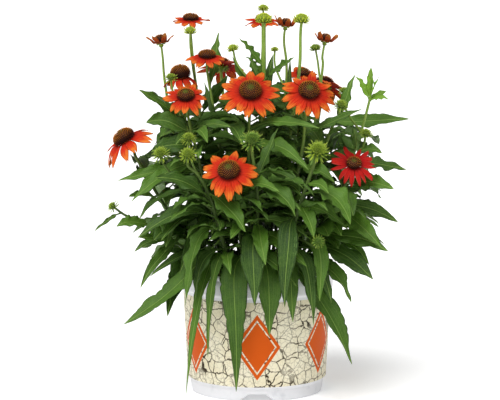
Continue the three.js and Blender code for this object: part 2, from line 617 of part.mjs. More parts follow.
// The rays of a bloom on their disc, as one closed solid. Each tip is notched.
function raysSolid(bloom, index) {
  const axes = bloomAxes(bloom);
  const random = makeRandom(500 + index);
  const stops = index < 4 ? [0.36, 0.74, 1] : [0.55, 1];
  const points = [onBloom(bloom, axes, 0, 0, 0.5), onBloom(bloom, axes, 0, 0, -0.6)];
  const faces = [];
  const start = discRadius(bloom);
  const step = (2 * Math.PI) / bloom.rays;
  const corner = (i) => 2 + 3 * (i % bloom.rays);
  for (let i = 0; i < bloom.rays; i++) {
    points.push(onBloom(bloom, axes, start / Math.cos(step / 2), step * i, 0));
    points.push(onBloom(bloom, axes, start, step * (i + 0.5), 0.5));
    points.push(onBloom(bloom, axes, start, step * (i + 0.5), -0.5));
  }
  for (let i = 0; i < bloom.rays; i++) {
    const ray = rayOf(bloom, i, random);
    const [right, top, low, left] = [corner(i), corner(i) + 1, corner(i) + 2, corner(i + 1)];
    faces.push([0, right, top], [0, top, left], [1, low, right], [1, left, low]);
    let ring = [left, top, right, low];
    for (const s of stops) {
      const notch = s === 1 ? 0.93 : s;
      const next = [
        onRay(bloom, axes, ray, s, 1, 0),
        onRay(bloom, axes, ray, notch, 0, ribHalf),
        onRay(bloom, axes, ray, s, -1, 0),
        onRay(bloom, axes, ray, notch, 0, -ribHalf),
      ];
      const base = points.length;
      points.push(...next);
      for (let j = 0; j < 4; j++) {
        const [a, b, c, d] = [ring[j], ring[(j + 1) % 4], base + ((j + 1) % 4), base + j];
        if (j % 2 === 1) faces.push([a, b, d], [b, c, d]);
        else faces.push([a, b, c], [a, c, d]);
      }
      ring = [base, base + 1, base + 2, base + 3];
    }
    faces.push([ring[0], ring[1], ring[3]], [ring[1], ring[2], ring[3]]);
  }
  return solidOf(points, faces);
}

// Radius and height of the cone's outline, from 0 at its foot to 1 at its crown.
function coneOutline(radius, height, share) {
  const a = -0.5 + share * (Math.PI / 2 + 0.5);
  return [radius * Math.cos(a), 1.2 + (height * (Math.sin(a) + 0.48)) / 1.48];
}

// A spiny dome: every second point of each ring stands out, and the next ring is turned by one.
function spinyDome(place, radius, height, count, rings, spine) {
  const points = [place(0, 0, 1.2)];
  const faces = [];
  for (let j = 0; j < rings; j++) {
    const [out, high] = coneOutline(radius, height, (j * 0.86) / (rings - 1));
    for (let k = 0; k < count; k++) {
      const stand = (j + k) % 2 && j > 0 ? spine : 0;
      const grow = 1 + stand / Math.hypot(out, high);
      points.push(place(out * grow, (2 * Math.PI * k) / count, high * grow));
    }
  }
  points.push(place(0, 0, coneOutline(radius, height, 1)[1]));
  const last = 1 + (rings - 1) * count;
  for (let k = 0; k < count; k++) {
    const next = (k + 1) % count;
    faces.push([0, 1 + next, 1 + k], [last + k, last + next, points.length - 1]);
  }
  for (let j = 0; j + 1 < rings; j++) joinRings(faces, 1 + j * count, 1 + (j + 1) * count, count, false);
  return solidOf(points, faces);
}

// The cone of a bloom.
function coneSolid(bloom, index) {
  const axes = bloomAxes(bloom);
  const place = (out, angle, high) => onBloom(bloom, axes, out, angle, high);
  const fine = index < 5;
  return spinyDome(place, bloom.cone[0], bloom.cone[1], fine ? 18 : 12, fine ? 4 : 3, fine ? 1.4 : 1.2);
}

// A star of bracts round a stalk: pointed rays that hang a little, with a hub under them.
function bractStar(place, inner, outer, count, hang, thick) {
  const points = [place(0, 0, 0), place(0, 0, -thick)];
  const faces = [];
  for (let k = 0; k < 2 * count; k++) {
    const out = k % 2 ? inner : outer;
    points.push(place(out, (Math.PI * k) / count, k % 2 ? -0.3 : -0.3 - hang));
  }
  for (let k = 0; k < 2 * count; k++) {
    const [a, b] = [2 + k, 2 + ((k + 1) % (2 * count))];
    faces.push([0, a, b], [1, b, a]);
  }
  return solidOf(points, faces);
}

// The green plate with bracts under a bloom.
function receptacleSolid(bloom) {
  const axes = bloomAxes(bloom);
  const place = (out, angle, high) => onBloom(bloom, axes, out, angle, high - 1);
  return bractStar(place, bloom.cone[0] * 0.42, bloom.cone[0] * 0.85, 6, 1.6, 4.5);
}

// A green bud: a star of bracts round its foot, and a bristly dome.
function budSolid(bud) {
  const axes = bloomAxes(bud);
  const size = bud.size;
  const place = (out, angle, high) => onBloom(bud, axes, out * size, angle, high * size);
  const count = size < 9 ? 8 : 10;
  const outline = [
    [1.35, -0.45, 0.55, -0.25],
    [0.72, -0.1, 0.72, -0.1],
    [1.05, 0.3, 0.8, 0.25],
    [0.45, 0.62, 0.66, 0.78],
  ];
  const points = [place(0, 0, -0.85)];
  for (const [out, high, outOdd, highOdd] of outline)
    for (let k = 0; k < count; k++) {
      const angle = (2 * Math.PI * k) / count;
      points.push(k % 2 ? place(outOdd, angle, highOdd) : place(out, angle, high));
    }
  points.push(place(0, 0, 0.6));
  const faces = [];
  for (let k = 0; k < count; k++) {
    const next = (k + 1) % count;
    faces.push([0, 1 + next, 1 + k], [1 + 3 * count + k, 1 + 3 * count + next, points.length - 1]);
  }
  for (let j = 0; j < 3; j++) joinRings(faces, 1 + j * count, 1 + (j + 1) * count, count, false);
  return solidOf(points, faces);
}

// The last points of a stem below a bloom or bud, so that it meets it along the way it faces.
function neckPoints(head, gap) {
  const w = leaning(head.lean, head.side);
  const at = vec(head.at);
  return [at.clone().addScaledVector(w, -gap - 17), at.clone().addScaledVector(w, -gap)];
}

// The curve of each stem, from the soil to its bloom or bud.
const curves = stems.map((stem, i) => {
  const points = [new THREE.Vector3(stem.foot[0], stem.foot[1], footHeight), ...stem.way.map(vec)];
  const bloom = blooms.find((b) => b.stem === i);
  const bud = buds.find((b) => b.stem === i && b.from === 0);
  if (bloom) points.push(...neckPoints(bloom, 2.4));
  else if (bud) points.push(...neckPoints(bud, bud.size * 0.4));
  else points.push(vec(bareEnd));
  return points;
});

const finePaths = curves.map((curve) => samplePath(curve, 100));
const coarsePaths = curves.map((curve) => samplePath(curve, stemPieces));

// The curve of a side branch to a bud.
function branchCurve(bud) {
  const root = pointAtHeight(finePaths[bud.stem], bud.from);
  const ends = neckPoints(bud, bud.size * 0.4);
  const middle = root.clone().lerp(ends[0], 0.55);
  middle.z = root.z + (ends[0].z - root.z) * 0.45;
  return [root, middle, ...ends];
}

// The bare stem, with its foot in the soil.
function stemSolid(stem, index) {
  const path = coarsePaths[index].map((p) => p.clone());
  const [thick, thin] = stem.thick;
  const radii = path.map((_, i) => thick + (thin - thick) * (i / stemPieces));
  path.unshift(new THREE.Vector3(stem.foot[0], stem.foot[1], stemFoot));
  radii.unshift(thick);
  return tube(path, radii, stemSides);
}

// The side branch that bears a bud.
function branchSolid(bud) {
  const path = samplePath(branchCurve(bud), 3);
  path[0] = pointAtHeight(coarsePaths[bud.stem], bud.from);
  return tube(path, [1.6, 1.4, 1.3, 1.3], 4);
}

// Points along stems, branches, blooms and buds, which the leaves keep clear of.
function fillSpace(space) {
  const always = () => true;
  const never = () => false;
  curves.forEach((curve, i) => space.add(samplePath(curve, 90), i, always, stemReach));
  for (const bud of buds) {
    const axes = bloomAxes(bud);
    if (bud.from > 0) space.add(samplePath(branchCurve(bud), 24), bud.stem, always, stemReach);
    const onBud = (out, angle, high) => onBloom(bud, axes, out * bud.size, angle, high * bud.size);
    for (let k = 0; k < 8; k++)
      for (const [out, high] of [[0.9, 0], [0.7, 0.6], [1.3, -0.4]])
        space.add([onBud(out, (Math.PI * k) / 4, high)], bud.stem, never, touchReach);
  }
  blooms.forEach((bloom, index) => {
    const axes = bloomAxes(bloom);
    const random = makeRandom(500 + index);
    for (let i = 0; i < bloom.rays; i++) {
      const ray = rayOf(bloom, i, random);
      for (let s = 0; s <= 1.001; s += 0.2) {
        const across = [-1, 0, 1].map((side) => onRay(bloom, axes, ray, s, side, 0));
        space.add(across, firstBloomOwner + index, never, touchReach);
      }
    }
    for (let k = 0; k < 16; k++)
      for (const share of [0, 0.3, 0.6, 0.9]) {
        const [out, high] = coneOutline(bloom.cone[0], bloom.cone[1], share);
        const point = onBloom(bloom, axes, out, (Math.PI * k) / 8, high);
        space.add([point], firstBloomOwner + index, never, touchReach);
      }
    for (let k = 0; k < 6; k++) {
      const point = onBloom(bloom, axes, bloom.cone[0] * 0.85, (Math.PI * k) / 3, -2.5);
      space.add([point], bloom.stem, never, touchReach);
    }
  });
}

// Every leaf: the ones placed by hand first, then the ones that grow by rule up each stem.
function growLeaves() {
  const space = new Space();
  fillSpace(space);
  const random = makeRandom(20);
  const grown = [];
  const keep = (leaf) => {
    if (!leaf) return;
    const touches = leafTouches(leaf);
    space.add(touches.points, leaf.stem, touches.isRoot, touchReach);
    grown.push(leaf);
  };
  for (const row of leaves) keep(placeLeaf(row, space, random()));
  for (let tier = 0; tier < tiers; tier++)
    curves.forEach((curve, i) => {
      const from = firstTier + tier * tierStep + 26 * random();
      const foot = curve[0];
      const outward = Math.atan2(foot.y, foot.x);
      const heading = outward + (random() - 0.5) * 3 + tier * 2.4;
      const length = 84 + 22 * random();
      const drop = length * (0.62 - 0.2 * tier + 0.3 * random());
      const wide = length * (0.25 + 0.07 * random());
      const roll = random();
      if (from < Math.min(curve[curve.length - 1].z - 38, highestRoot))
        keep(growLeaf(i, from, heading, length, drop, wide, space, roll));
    });
  return grown;
}

// A solid turned from its outline, a row of radius and height that starts and ends on the axis.
function turned(outline) {
  const geometry = new THREE.LatheGeometry(
    outline.map(([r, z]) => new THREE.Vector2(r, z)),
    potSides,
  );
  geometry.rotateX(Math.PI / 2);
  return solidFrom(geometry);
}

function outerPotSolid() {
  let pot = turned([
    [0, 10],
    [78, 10],
    [78, 0],
    [82.2, 0],
    [82.2, 16.5],
    [85.7, 17],
    [91.5, 124.5],
    [91.8, 128],
    [94, 129.5],
    [rimRadius, 148],
    [rimRadius, 153.5],
    [94.2, rimTop],
    [92.6, rimTop],
    [91.7, 153],
    [83, 14],
    [0, 13],
  ]);
  for (let k = 0; k < 4; k++) {
    const shape = new THREE.Shape();
    shape.moveTo(-notchFootWidth / 2, -1);
    shape.lineTo(notchFootWidth / 2, -1);
    shape.lineTo(notchTopWidth / 2, notchHeight);
    shape.lineTo(-notchTopWidth / 2, notchHeight);
    const cut = new THREE.ExtrudeGeometry(shape, { depth: 24, bevelEnabled: false });
    cut.rotateX(Math.PI / 2);
    cut.translate(0, -66, 0);
    cut.rotateZ((k * Math.PI) / 2);
    pot = pot.subtract(solidFrom(cut));
  }
  return pot;
}

function innerPotSolid() {
  return turned([
    [0, 14.2],
    [79, 14.2],
    [89.4, 154],
    [91.4, 155.8],
    [91.4, 158.6],
    [88.2, 158.6],
    [77.5, 17],
    [0, 16.6],
  ]);
}

// The soil: a filled bed with a crumbly top and a plain hole for each stem.
function soilSolid() {
  const random = makeRandom(7);
  const geometry = new THREE.LatheGeometry(
    [
      [0, 17.4],
      [76.6, 17.6],
      [84.6, 120],
      [86, soilTop - 2],
      [42, soilTop + 1],
      [0, soilTop + 2],
    ].map(([r, z]) => new THREE.Vector2(r, z)),
    potSides,
  );
  geometry.rotateX(Math.PI / 2);
  geometry.deleteAttribute("normal");
  geometry.deleteAttribute("uv");
  const crumbled = mergeVertices(geometry, 1e-4);
  const at = crumbled.attributes.position;
  for (let i = 0; i < at.count; i++)
    if (at.getZ(i) > soilTop - 1) at.setZ(i, at.getZ(i) + 2.4 * (random() - 0.5));
  let bed = solidFrom(crumbled);
  for (const stem of stems) {
    const radius = stem.thick[0] + stemClear;
    const hole = new THREE.CylinderGeometry(radius, radius, holeDepth, stemSides);
    hole.rotateX(Math.PI / 2);
    hole.translate(stem.foot[0], stem.foot[1], stemFoot - 1 + holeDepth / 2);
    bed = bed.subtract(solidFrom(hole));
  }
  return bed;
}

function meshOf(name, solid, colour, roughness) {
  const data = solid.getMesh();
  const points = new Float32Array(data.numVert * 3);
  for (let i = 0; i < data.numVert; i++)
    points.set(data.vertProperties.subarray(i * data.numProp, i * data.numProp + 3), i * 3);
  const geometry = new THREE.BufferGeometry();
  geometry.setAttribute("position", new THREE.BufferAttribute(points, 3));
  geometry.setIndex(new THREE.BufferAttribute(data.triVerts, 1));
  geometry.computeVertexNormals();
  const material = new THREE.MeshStandardMaterial({ color: colour, roughness, metalness: 0 });
  const mesh = new THREE.Mesh(geometry, material);
  mesh.name = name;
  return mesh;
}

function label(kind, number) {
  return `${kind}_${String(number + 1).padStart(2, "0")}`;
}

const plant = new THREE.Group();
const pot = new THREE.Group();
pot.add(meshOf("outer_pot", outerPotSolid(), colours.plastic, 0.35));
pot.add(meshOf("inner_pot", innerPotSolid(), colours.nursery, 0.6));
pot.add(meshOf("soil", soilSolid(), colours.soil, 0.95));
plant.add(pot);

const grownLeaves = growLeaves();
stems.forEach((stem, i) => {
  let solid = stemSolid(stem, i);
  const head = blooms.find((b) => b.stem === i);
  if (head) solid = solid.add(receptacleSolid(head));
  for (const bud of buds.filter((b) => b.stem === i)) {
    solid = solid.add(budSolid(bud));
    if (bud.from > 0) solid = solid.add(branchSolid(bud));
  }
  for (const leaf of grownLeaves.filter((l) => l.stem === i)) solid = solid.add(leafSolid(leaf));
  plant.add(meshOf(label("stem", i), solid, colours.leaf, 0.6));
});
blooms.forEach((bloom, i) => {
  plant.add(meshOf(label("rays", i), raysSolid(bloom, i), i === 7 ? colours.red : colours.orange, 0.55));
  plant.add(meshOf(label("cone", i), coneSolid(bloom, i), colours.brown, 0.75));
});

export default plant;
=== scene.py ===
import bpy
import math
import numpy as np
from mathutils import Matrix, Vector


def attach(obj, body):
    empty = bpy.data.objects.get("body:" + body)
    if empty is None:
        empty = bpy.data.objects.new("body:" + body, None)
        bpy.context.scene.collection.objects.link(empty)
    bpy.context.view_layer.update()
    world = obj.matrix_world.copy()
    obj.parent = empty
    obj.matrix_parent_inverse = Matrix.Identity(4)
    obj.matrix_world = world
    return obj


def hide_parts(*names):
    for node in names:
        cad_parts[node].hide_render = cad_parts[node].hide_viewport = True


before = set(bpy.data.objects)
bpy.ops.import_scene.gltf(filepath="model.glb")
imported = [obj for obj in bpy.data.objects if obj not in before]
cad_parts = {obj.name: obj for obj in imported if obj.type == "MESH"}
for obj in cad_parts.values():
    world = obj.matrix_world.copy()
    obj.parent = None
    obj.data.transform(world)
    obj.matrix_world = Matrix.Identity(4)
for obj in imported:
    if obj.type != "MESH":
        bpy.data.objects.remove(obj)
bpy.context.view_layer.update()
mm = 0.001  # all sizes below are millimetres, and the meshes are metres

camera = dict(at=(-8.6, -3200, 697), aim=(-8.6, 0, 236), lens=188.64, sensor=36)
light = dict(sun=3.0, sunFrom=(-0.4, -0.72, 1.3), sunSize=46, sky=0.45, skyColour=(1.0, 1.0, 1.0, 1))


def placeCamera():
    lens = bpy.data.cameras.new("photoCamera")
    lens.lens = camera["lens"]
    lens.sensor_width = camera["sensor"]
    lens.clip_end = 100
    eye = bpy.data.objects.new("photoCamera", lens)
    bpy.context.scene.collection.objects.link(eye)
    at, aim = (np.array(camera[k], float) * mm for k in ("at", "aim"))
    eye.location = at
    drop = math.atan2(at[2] - aim[2], aim[1] - at[1])
    eye.rotation_euler = (math.pi / 2 - drop, 0, 0)
    bpy.context.scene.camera = eye


placeCamera()
print("camera placed")

# The growth rule of the plant, the same as that of the solids
plant = dict(
    footHeight=146,
    stemFoot=119,
    leafStalk=0.14,
    leafFold=0.28,
    petioleHalf=1.1,
    rayWidest=0.62,
    bareEnd=(139, -10, 366),
    touchStep=4,
    touchReach=4.8,
    stemReach=5.2,
    clumpReach=156,
    lowestTip=60,
    cellSize=6,
    tiers=4,
    firstTier=164,
    tierStep=44,
    highestRoot=345,
    rimTop=155,
    rimRadius=95,
    soilTop=140,
    lowReach=60,
    lowFlare=0.5,
    topReach=490,
    topTaper=1.15,
    neckLong=17,
    neckGap=2.4,
    budGap=0.4,
    goldenAngle=2.39996,
)
rayChance = dict(shortest=0.86, extra=0.24, hang=16, bow=0.6)  # how much the rays of one bloom differ
coneForm = dict(start=0.5, lift=1.2, below=0.48)
leafForm = dict(broad=20, waves=(2.2, 1.1), turns=(8, 5), waveShift=0.9, fullWave=6)
leafTouch = dict(edgeHalf=1.5, middleHalf=5, nearRoot=24)
potClear = dict(floor=5, above=7, beside=4, soil=8, inside=13)
touchPoints = dict(stem=90, branch=24, bud=8, ray=6, cone=16, bract=6)
budRings = ((0.9, 0), (0.7, 0.6), (1.3, -0.4))  # out and up, in shares of the bud's size
coneRings = (0, 0.3, 0.6, 0.9)  # shares of the way from a cone's foot to its top
placing = dict(tries=40, step=2.5)
growing = dict(tries=36, turn=0.17, flatter=0.4, bend=0.34, roll=70)
tierLeaf = dict(
    spread=26, turn=3, tierTurn=2.4, length=(84, 22), drop=(0.62, 0.2, 0.3), wide=(0.25, 0.07), bareTop=38
)

# Stems: the foot on the soil, the points passed on the way, and the radius at the foot and at the top
stems = [
    ((-4, -22), ((-8, -40, 230), (-10, -52, 310)), (2.6, 1.9)),
    ((24, -28), ((40, -48, 230), (55, -62, 310)), (2.6, 1.9)),
    ((-14, -42), ((-22, -70, 210), (-28, -105, 258)), (2.6, 1.9)),
    ((-38, -12), ((-80, -20, 190), (-113, -28, 233), (-146, -30, 290)), (2.6, 1.9)),
    ((-26, -28), ((-52, -42, 220), (-75, -52, 310)), (2.6, 1.8)),
    ((-18, 4), ((-35, 5, 240), (-52, 6, 340)), (2.4, 1.6)),
    ((-28, 20), ((-55, 28, 250), (-75, 38, 370)), (2.4, 1.6)),
    ((36, -26), ((70, -45, 200), (102, -66, 258)), (2.6, 1.9)),
    ((20, 8), ((38, 12, 240), (53, 12, 330)), (2.4, 1.7)),
    ((0, 26), ((2, 36, 250), (5, 48, 370)), (2.4, 1.7)),
    ((-42, 14), ((-62, 18, 230), (-86, 20, 320)), (2.5, 1.8)),
    ((-46, 30), ((-80, 35, 230), (-103, 38, 310), (-114, 39, 376)), (2.4, 1.5)),
    ((12, 2), ((22, 6, 240), (36, 12, 380)), (2.4, 1.5)),
    ((34, 12), ((55, 18, 230), (72, 24, 330), (81, 28, 395)), (2.4, 1.5)),
    ((2, -4), ((5, -10, 250), (8, -14, 370)), (3.6, 3.0)),
    ((16, -12), ((30, -20, 250), (50, -31, 388)), (2.6, 2.0)),
    ((2, -48), ((0, -75, 200), (0, -105, 262)), (2.8, 2.0)),
    ((22, -50), ((36, -80, 190), (51, -105, 245)), (2.8, 2.2)),
    ((48, -16), ((85, -32, 210), (120, -44, 295)), (2.5, 1.6)),
    ((50, 6), ((90, 0, 220), (124, -6, 310)), (2.5, 1.8)),
    ((34, -2), ((62, -26, 240), (88, -50, 325)), (2.5, 1.8)),
    ((-56, -22), ((-95, -32, 185), (-140, -38, 214)), (2.5, 1.7)),
    ((-24, -50), ((-42, -82, 200), (-56, -100, 252), (-70, -114, 282)), (2.8, 2.0)),
    ((-10, 46), ((-30, 75, 240),), (2.6, 1.9)),
    ((30, 44), ((60, 70, 230),), (2.6, 1.9)),
]

# Blooms: stem, middle of the ray disc, lean and its side, cone's radius and height,
# rays, their length, half width, rise and hang, and the disc's share of the cone
blooms = [
    (0, (-8, -60, 376), 46, -88, (14.5, 12), 14, 28, 5.4, 6, 6, 0.62),
    (1, (62, -70, 377), 47, -80, (13.5, 11), 15, 25, 4.9, 5, 12, 0.62),
    (2, (-33, -129, 288), 44, -100, (14, 12), 13, 25, 5.4, 6, 8, 0.62),
    (3, (-160, -29, 314), 34, -160, (14.5, 15), 12, 31, 5.4, 2, 20, 0.62),
    (4, (-86, -55, 369), 30, -95, (11, 10), 14, 22, 4.3, 6, 8, 0.62),
    (5, (-61, 2, 413), 14, -90, (11, 8), 11, 18, 4.2, 2, 20, 0.62),
    (6, (-82, 45, 455), 8, -90, (10, 8), 11, 16, 3.8, 2, 4, 0.62),
    (7, (116, -76, 290), 40, -85, (9.5, 8), 17, 22, 2.9, 6, 8, 0.62),
    (8, (57, 10, 391), 22, -90, (8.5, 7), 10, 14, 3.8, 6, 8, 0.62),
    (9, (8, 55, 453), 15, -90, (10, 9), 10, 17, 3.8, 4, 6, 0.62),
    (10, (-94, 20, 386), 8, -120, (13, 17), 9, 17, 4.2, -15, 46, 0.62),
    (11, (-119, 40, 427), 8, 150, (8, 11), 8, 12, 2.8, 62, -54, 1.15),
    (12, (35, 15, 450), 6, 30, (7, 10), 7, 12, 2.8, 70, -58, 1.2),
    (13, (84, 30, 430), 10, 20, (7, 10), 7, 12, 2.8, 66, -54, 1.2),
    (23, (-45, 110, 390), 30, 95, (13, 12), 10, 24, 5.2, 6, 15, 0.62),
    (24, (85, 95, 368), 32, 70, (12.5, 12), 10, 24, 5.2, 6, 18, 0.62),
]

# Buds: stem, height where the side branch leaves it (0 ends the stem), middle, size, lean and its side
buds = [
    (14, 0, (8, -15, 462), 11, 4, -90),
    (15, 0, (54, -32, 463), 10.5, 8, -60),
    (16, 0, (-6, -125, 326), 12, 35, -90),
    (17, 0, (72, -120, 313), 12.5, 40, -75),
    (18, 0, (132, -48, 325), 7, 20, -60),
    (20, 0, (101, -63, 361), 8, 25, -60),
    (21, 0, (-176, -41, 234), 7, 55, 180),
    (22, 0, (-82, -124, 309), 9, 38, -90),
    (22, 236, (-115, -104, 307), 9.5, 38, -110),
    (22, 262, (-82, -97, 325), 8, 20, -90),
    (9, 392, (8, 92, 467), 7.5, 5, 90),
    (6, 372, (-82, 12, 445), 8, 10, -90),
    (13, 378, (72, 34, 422), 7.5, 10, 180),
    (14, 372, (-30, -6, 425), 7.5, 15, 180),
    (12, 372, (22, 34, 420), 5, 10, 90),
    (4, 318, (-105, -34, 391), 7, 10, 160),
    (19, 322, (106, -24, 374), 6, 20, -90),
    (17, 206, (72, -147, 208), 6.5, 60, -80),
]

# Leaves set one by one: stem, height, tip, reach and lift of the bend, width, roll
leaves = [
    (2, 168, (-25, -117, 20), 1, 120, 34, 0),
    (7, 190, (140, -88, 151), 0.5, 18, 30, 30),
    (17, 180, (113, -114, 52), 0.6, 24, 34, 20),
    (16, 174, (15, -116, 88), 1, 72, 38, 0),
    (22, 258, (-13, -150, 222), 0.5, 12, 29, 10),
    (16, 262, (47, -150, 240), 0.5, 26, 28, 25),
    (16, 203, (57, -132, 172), 0.5, 24, 30, 25),
    (18, 225, (147, -100, 195), 0.5, 20, 28, 30),
    (22, 202, (-161, -120, 105), 0.5, -22, 26, -35),
    (22, 215, (-83, -121, 124), 1, 50, 25, 0),
    (4, 172, (-86, -124, 16), 0.65, 112, 15, 0),
    (22, 174, (-58, -110, 60), 1, 94, 14, 0),
    (4, 220, (-94, -110, 162), 0.5, 18, 20, -40),
    (16, 220, (9, -145, 180), 0.5, 14, 21, 10),
    (16, 226, (64, -120, 204), 0.5, 12, 17, 30),
    (17, 244, (67, -145, 211), 0.6, 16, 21, 0),
    (7, 212, (74, -128, 132), 0.9, 32, 20, 0),
    (7, 204, (157, -88, 187), 0.5, 12, 24, 45),
    (7, 258, (114, -126, 236), 0.5, 14, 25, 0),
    (18, 240, (173, -60, 215), 0.5, 6, 20, 50),
    (19, 280, (186, 22, 271), 0.5, 8, 17, 40),
    (13, 325, (190, 44, 331), 0.5, 6, 18, 50),
    (0, 330, (74, -97, 338), 0.5, 14, 15, 40),
    (7, 174, (115, -102, 127), 0.6, 22, 22, 20),
    (17, 180, (42, -119, 106), 0.9, 40, 22, 0),
    (17, 186, (66, -122, 102), 0.9, 60, 22, 0),
    (4, 292, (-152, -96, 250), 0.5, 10, 22, -35),
    (4, 276, (-168, -72, 268), 0.5, 14, 18, -45),
    (10, 325, (-146, 4, 372), 0.5, 8, 17, -50),
    (4, 322, (-134, -57, 338), 0.5, 18, 26, -50),
    (4, 308, (-128, -76, 304), 0.5, 14, 25, -45),
    (22, 250, (-121, -118, 279), 0.5, 18, 24, -40),
    (21, 192, (-144, -76, 202), 0.5, 0, 17, -40),
    (21, 186, (-140, -102, 144), 0.5, 26, 15, -20),
    (21, 208, (-170, -66, 215), 0.5, 10, 19, -40),
    (21, 226, (-195, -100, 212), 0.5, 6, 7, 0),
    (14, 400, (-22, -18, 438), 0.5, 4, 13, -40),
    (14, 384, (46, -46, 416), 0.5, 4, 16, 40),
    (17, 258, (110, -132, 226), 0.75, 34, 30, 20),
    (6, 338, (-36, 8, 390), 0.5, -4, 19, -20),
    (14, 368, (-9, 14, 408), 0.4, 2, 18, 0),
    (14, 392, (-13, -28, 417), 0.5, 3, 11, -40),
    (5, 372, (-48, 54, 440), 0.5, -4, 16, -20),
    (14, 350, (-32, -2, 414), 0.5, -12, 13, -30),
    (14, 356, (19, 4, 417), 0.5, -6, 11, 20),
    (15, 332, (38, -4, 410), 0.5, -10, 13, 30),
    (5, 320, (-66, -18, 384), 0.5, -4, 15, -30),
    (4, 328, (-31, -82, 335), 0.5, 12, 16, 40),
    (16, 274, (24, -84, 336), 0.5, -6, 17, 0),
    (14, 284, (49, -64, 279), 0.5, 10, 18, 40),
    (1, 284, (93, -94, 272), 0.5, 12, 18, 40),
    (1, 324, (126, -88, 358), 0.5, 4, 16, 40),
    (20, 340, (117, -38, 397), 0.5, -6, 12, 30),
    (18, 300, (116, -66, 332), 0.5, -2, 12, 0),
    (18, 300, (152, -68, 300), 0.5, 10, 13, 40),
    (18, 258, (164, -88, 262), 0.5, 14, 22, 45),
    (23, 200, (52, 88, 214), 0.5, 22, 30, 55),
    (23, 236, (-108, 84, 226), 0.5, 22, 30, -55),
    (23, 278, (46, 98, 292), 0.5, 18, 30, 55),
    (23, 312, (-112, 100, 304), 0.5, 20, 28, -50),
    (24, 250, (-16, 58, 264), 0.5, 18, 30, -55),
    (24, 214, (132, 88, 204), 0.5, 22, 30, 55),
    (24, 290, (140, 92, 284), 0.5, 20, 28, 50),
    (9, 302, (70, 52, 326), 0.5, 12, 28, 55),
    (9, 280, (-62, 52, 298), 0.5, 12, 28, -55),
    (9, 338, (58, 64, 352), 0.5, 10, 26, 50),
    (9, 345, (-50, 62, 352), 0.5, 10, 26, -50),
    (10, 336, (-131, -14, 370), 0.5, 4, 14, -30),
    (19, 362, (139, -14, 402), 0.3, 4, 8, 0),
    (19, 362, (150, -20, 389), 0.4, 6, 7, 40),
    (19, 360, (160, -24, 364), 0.5, 6, 7, 40),
    (19, 358, (160, 10, 370), 0.5, 6, 7, 40),
    (19, 360, (121, -2, 390), 0.4, 4, 8, -40),
]


def makeRandom(seed):
    state = seed

    def draw():
        nonlocal state
        state = (state * 1664525 + 1013904223) % 4294967296
        return state / 4294967296

    return draw


def unit(v):
    return v / np.linalg.norm(v, axis=-1, keepdims=True)


def leaning(lean, side):
    a, b = math.radians(lean), math.radians(side)
    return np.array((math.sin(a) * math.cos(b), math.sin(a) * math.sin(b), math.cos(a)))


def samplePath(points, count):
    p = np.array(points, float)
    last = len(p) - 1
    x = np.arange(count + 1) / count * last
    i = np.minimum(np.floor(x).astype(int), last - 1)
    f = (x - i)[:, None]
    a, b, c, d = p[np.maximum(i - 1, 0)], p[i], p[i + 1], p[np.minimum(i + 2, last)]
    return 0.5 * (
        a * (-f + 2 * f**2 - f**3)
        + b * (2 - 5 * f**2 + 3 * f**3)
        + c * (f + 4 * f**2 - 3 * f**3)
        + d * (-(f**2) + f**3)
    )


def pointAtHeight(path, height):
    for low, high in zip(path, path[1:]):
        if high[2] >= height:
            share = (height - low[2]) / max(high[2] - low[2], 1e-9)
            return low + (high - low) * min(max(share, 0), 1)
    return path[-1].copy()


class Head:  # a bloom or bud: its middle and its three directions
    def __init__(self, at, lean, side):
        self.at = np.array(at, float)
        self.w = leaning(lean, side)
        self.u = unit(np.cross((0, 1, 0.1), self.w))
        self.v = np.cross(self.w, self.u)

    def on(self, out, angle, high):
        out, angle, high = (np.asarray(x, float)[..., None] for x in (out, angle, high))
        return self.at + self.u * out * np.cos(angle) + self.v * out * np.sin(angle) + self.w * high

    def neck(self, gap):
        return [self.at - self.w * (gap + plant["neckLong"]), self.at - self.w * gap]


class Bloom(Head):
    def __init__(self, index, row):
        self.index = index
        self.stem, at, lean, side, self.cone, self.rays, self.long, self.half, self.rise, self.hang, hub = row
        super().__init__(at, lean, side)
        self.disc = self.cone[0] * hub

    def rayList(self):
        draw = makeRandom(500 + self.index)
        return [
            dict(
                angle=2 * math.pi * (i + 0.5) / self.rays,
                long=self.long * (rayChance["shortest"] + rayChance["extra"] * draw()),
                hang=math.radians(self.hang + rayChance["hang"] * (draw() - 0.5)),
                rise=math.radians(self.rise),
                bow=rayChance["bow"] * (draw() - 0.5),
            )
            for i in range(self.rays)
        ]

    def rayHalf(self, s):
        widest = plant["rayWidest"]
        root = self.disc * math.sin(math.pi / self.rays)
        swell = np.sin(np.minimum(s / widest, 1) * math.pi / 2)
        taper = np.maximum(s - widest, 0) / (1 - widest)
        return root + (self.half - root) * swell - 0.35 * self.half * taper

    def rayLine(self, ray, s):
        near, far = s * (1 - s) * ray["long"], s * s * ray["long"]
        out = self.disc + near * math.cos(ray["rise"]) + far * math.cos(ray["hang"])
        return out, near * math.sin(ray["rise"]) - far * math.sin(ray["hang"])

    def coneLine(self, share):
        start, below = coneForm["start"], coneForm["below"]
        a = -start + np.asarray(share) * (math.pi / 2 + start)
        return self.cone[0] * np.cos(a), coneForm["lift"] + self.cone[1] * (np.sin(a) + below) / (1 + below)


class Bud(Head):
    def __init__(self, row):
        self.stem, self.start, at, self.size, lean, side = row
        super().__init__(at, lean, side)


bloomList = [Bloom(i, row) for i, row in enumerate(blooms)]
budList = [Bud(row) for row in buds]


def stemCurve(index):
    foot, way, _ = stems[index]
    points = [(*foot, plant["footHeight"]), *way]
    for bloom in bloomList:
        if bloom.stem == index:
            return points + bloom.neck(plant["neckGap"])
    for bud in budList:
        if bud.stem == index and bud.start == 0:
            return points + bud.neck(bud.size * plant["budGap"])
    return points + [plant["bareEnd"]]


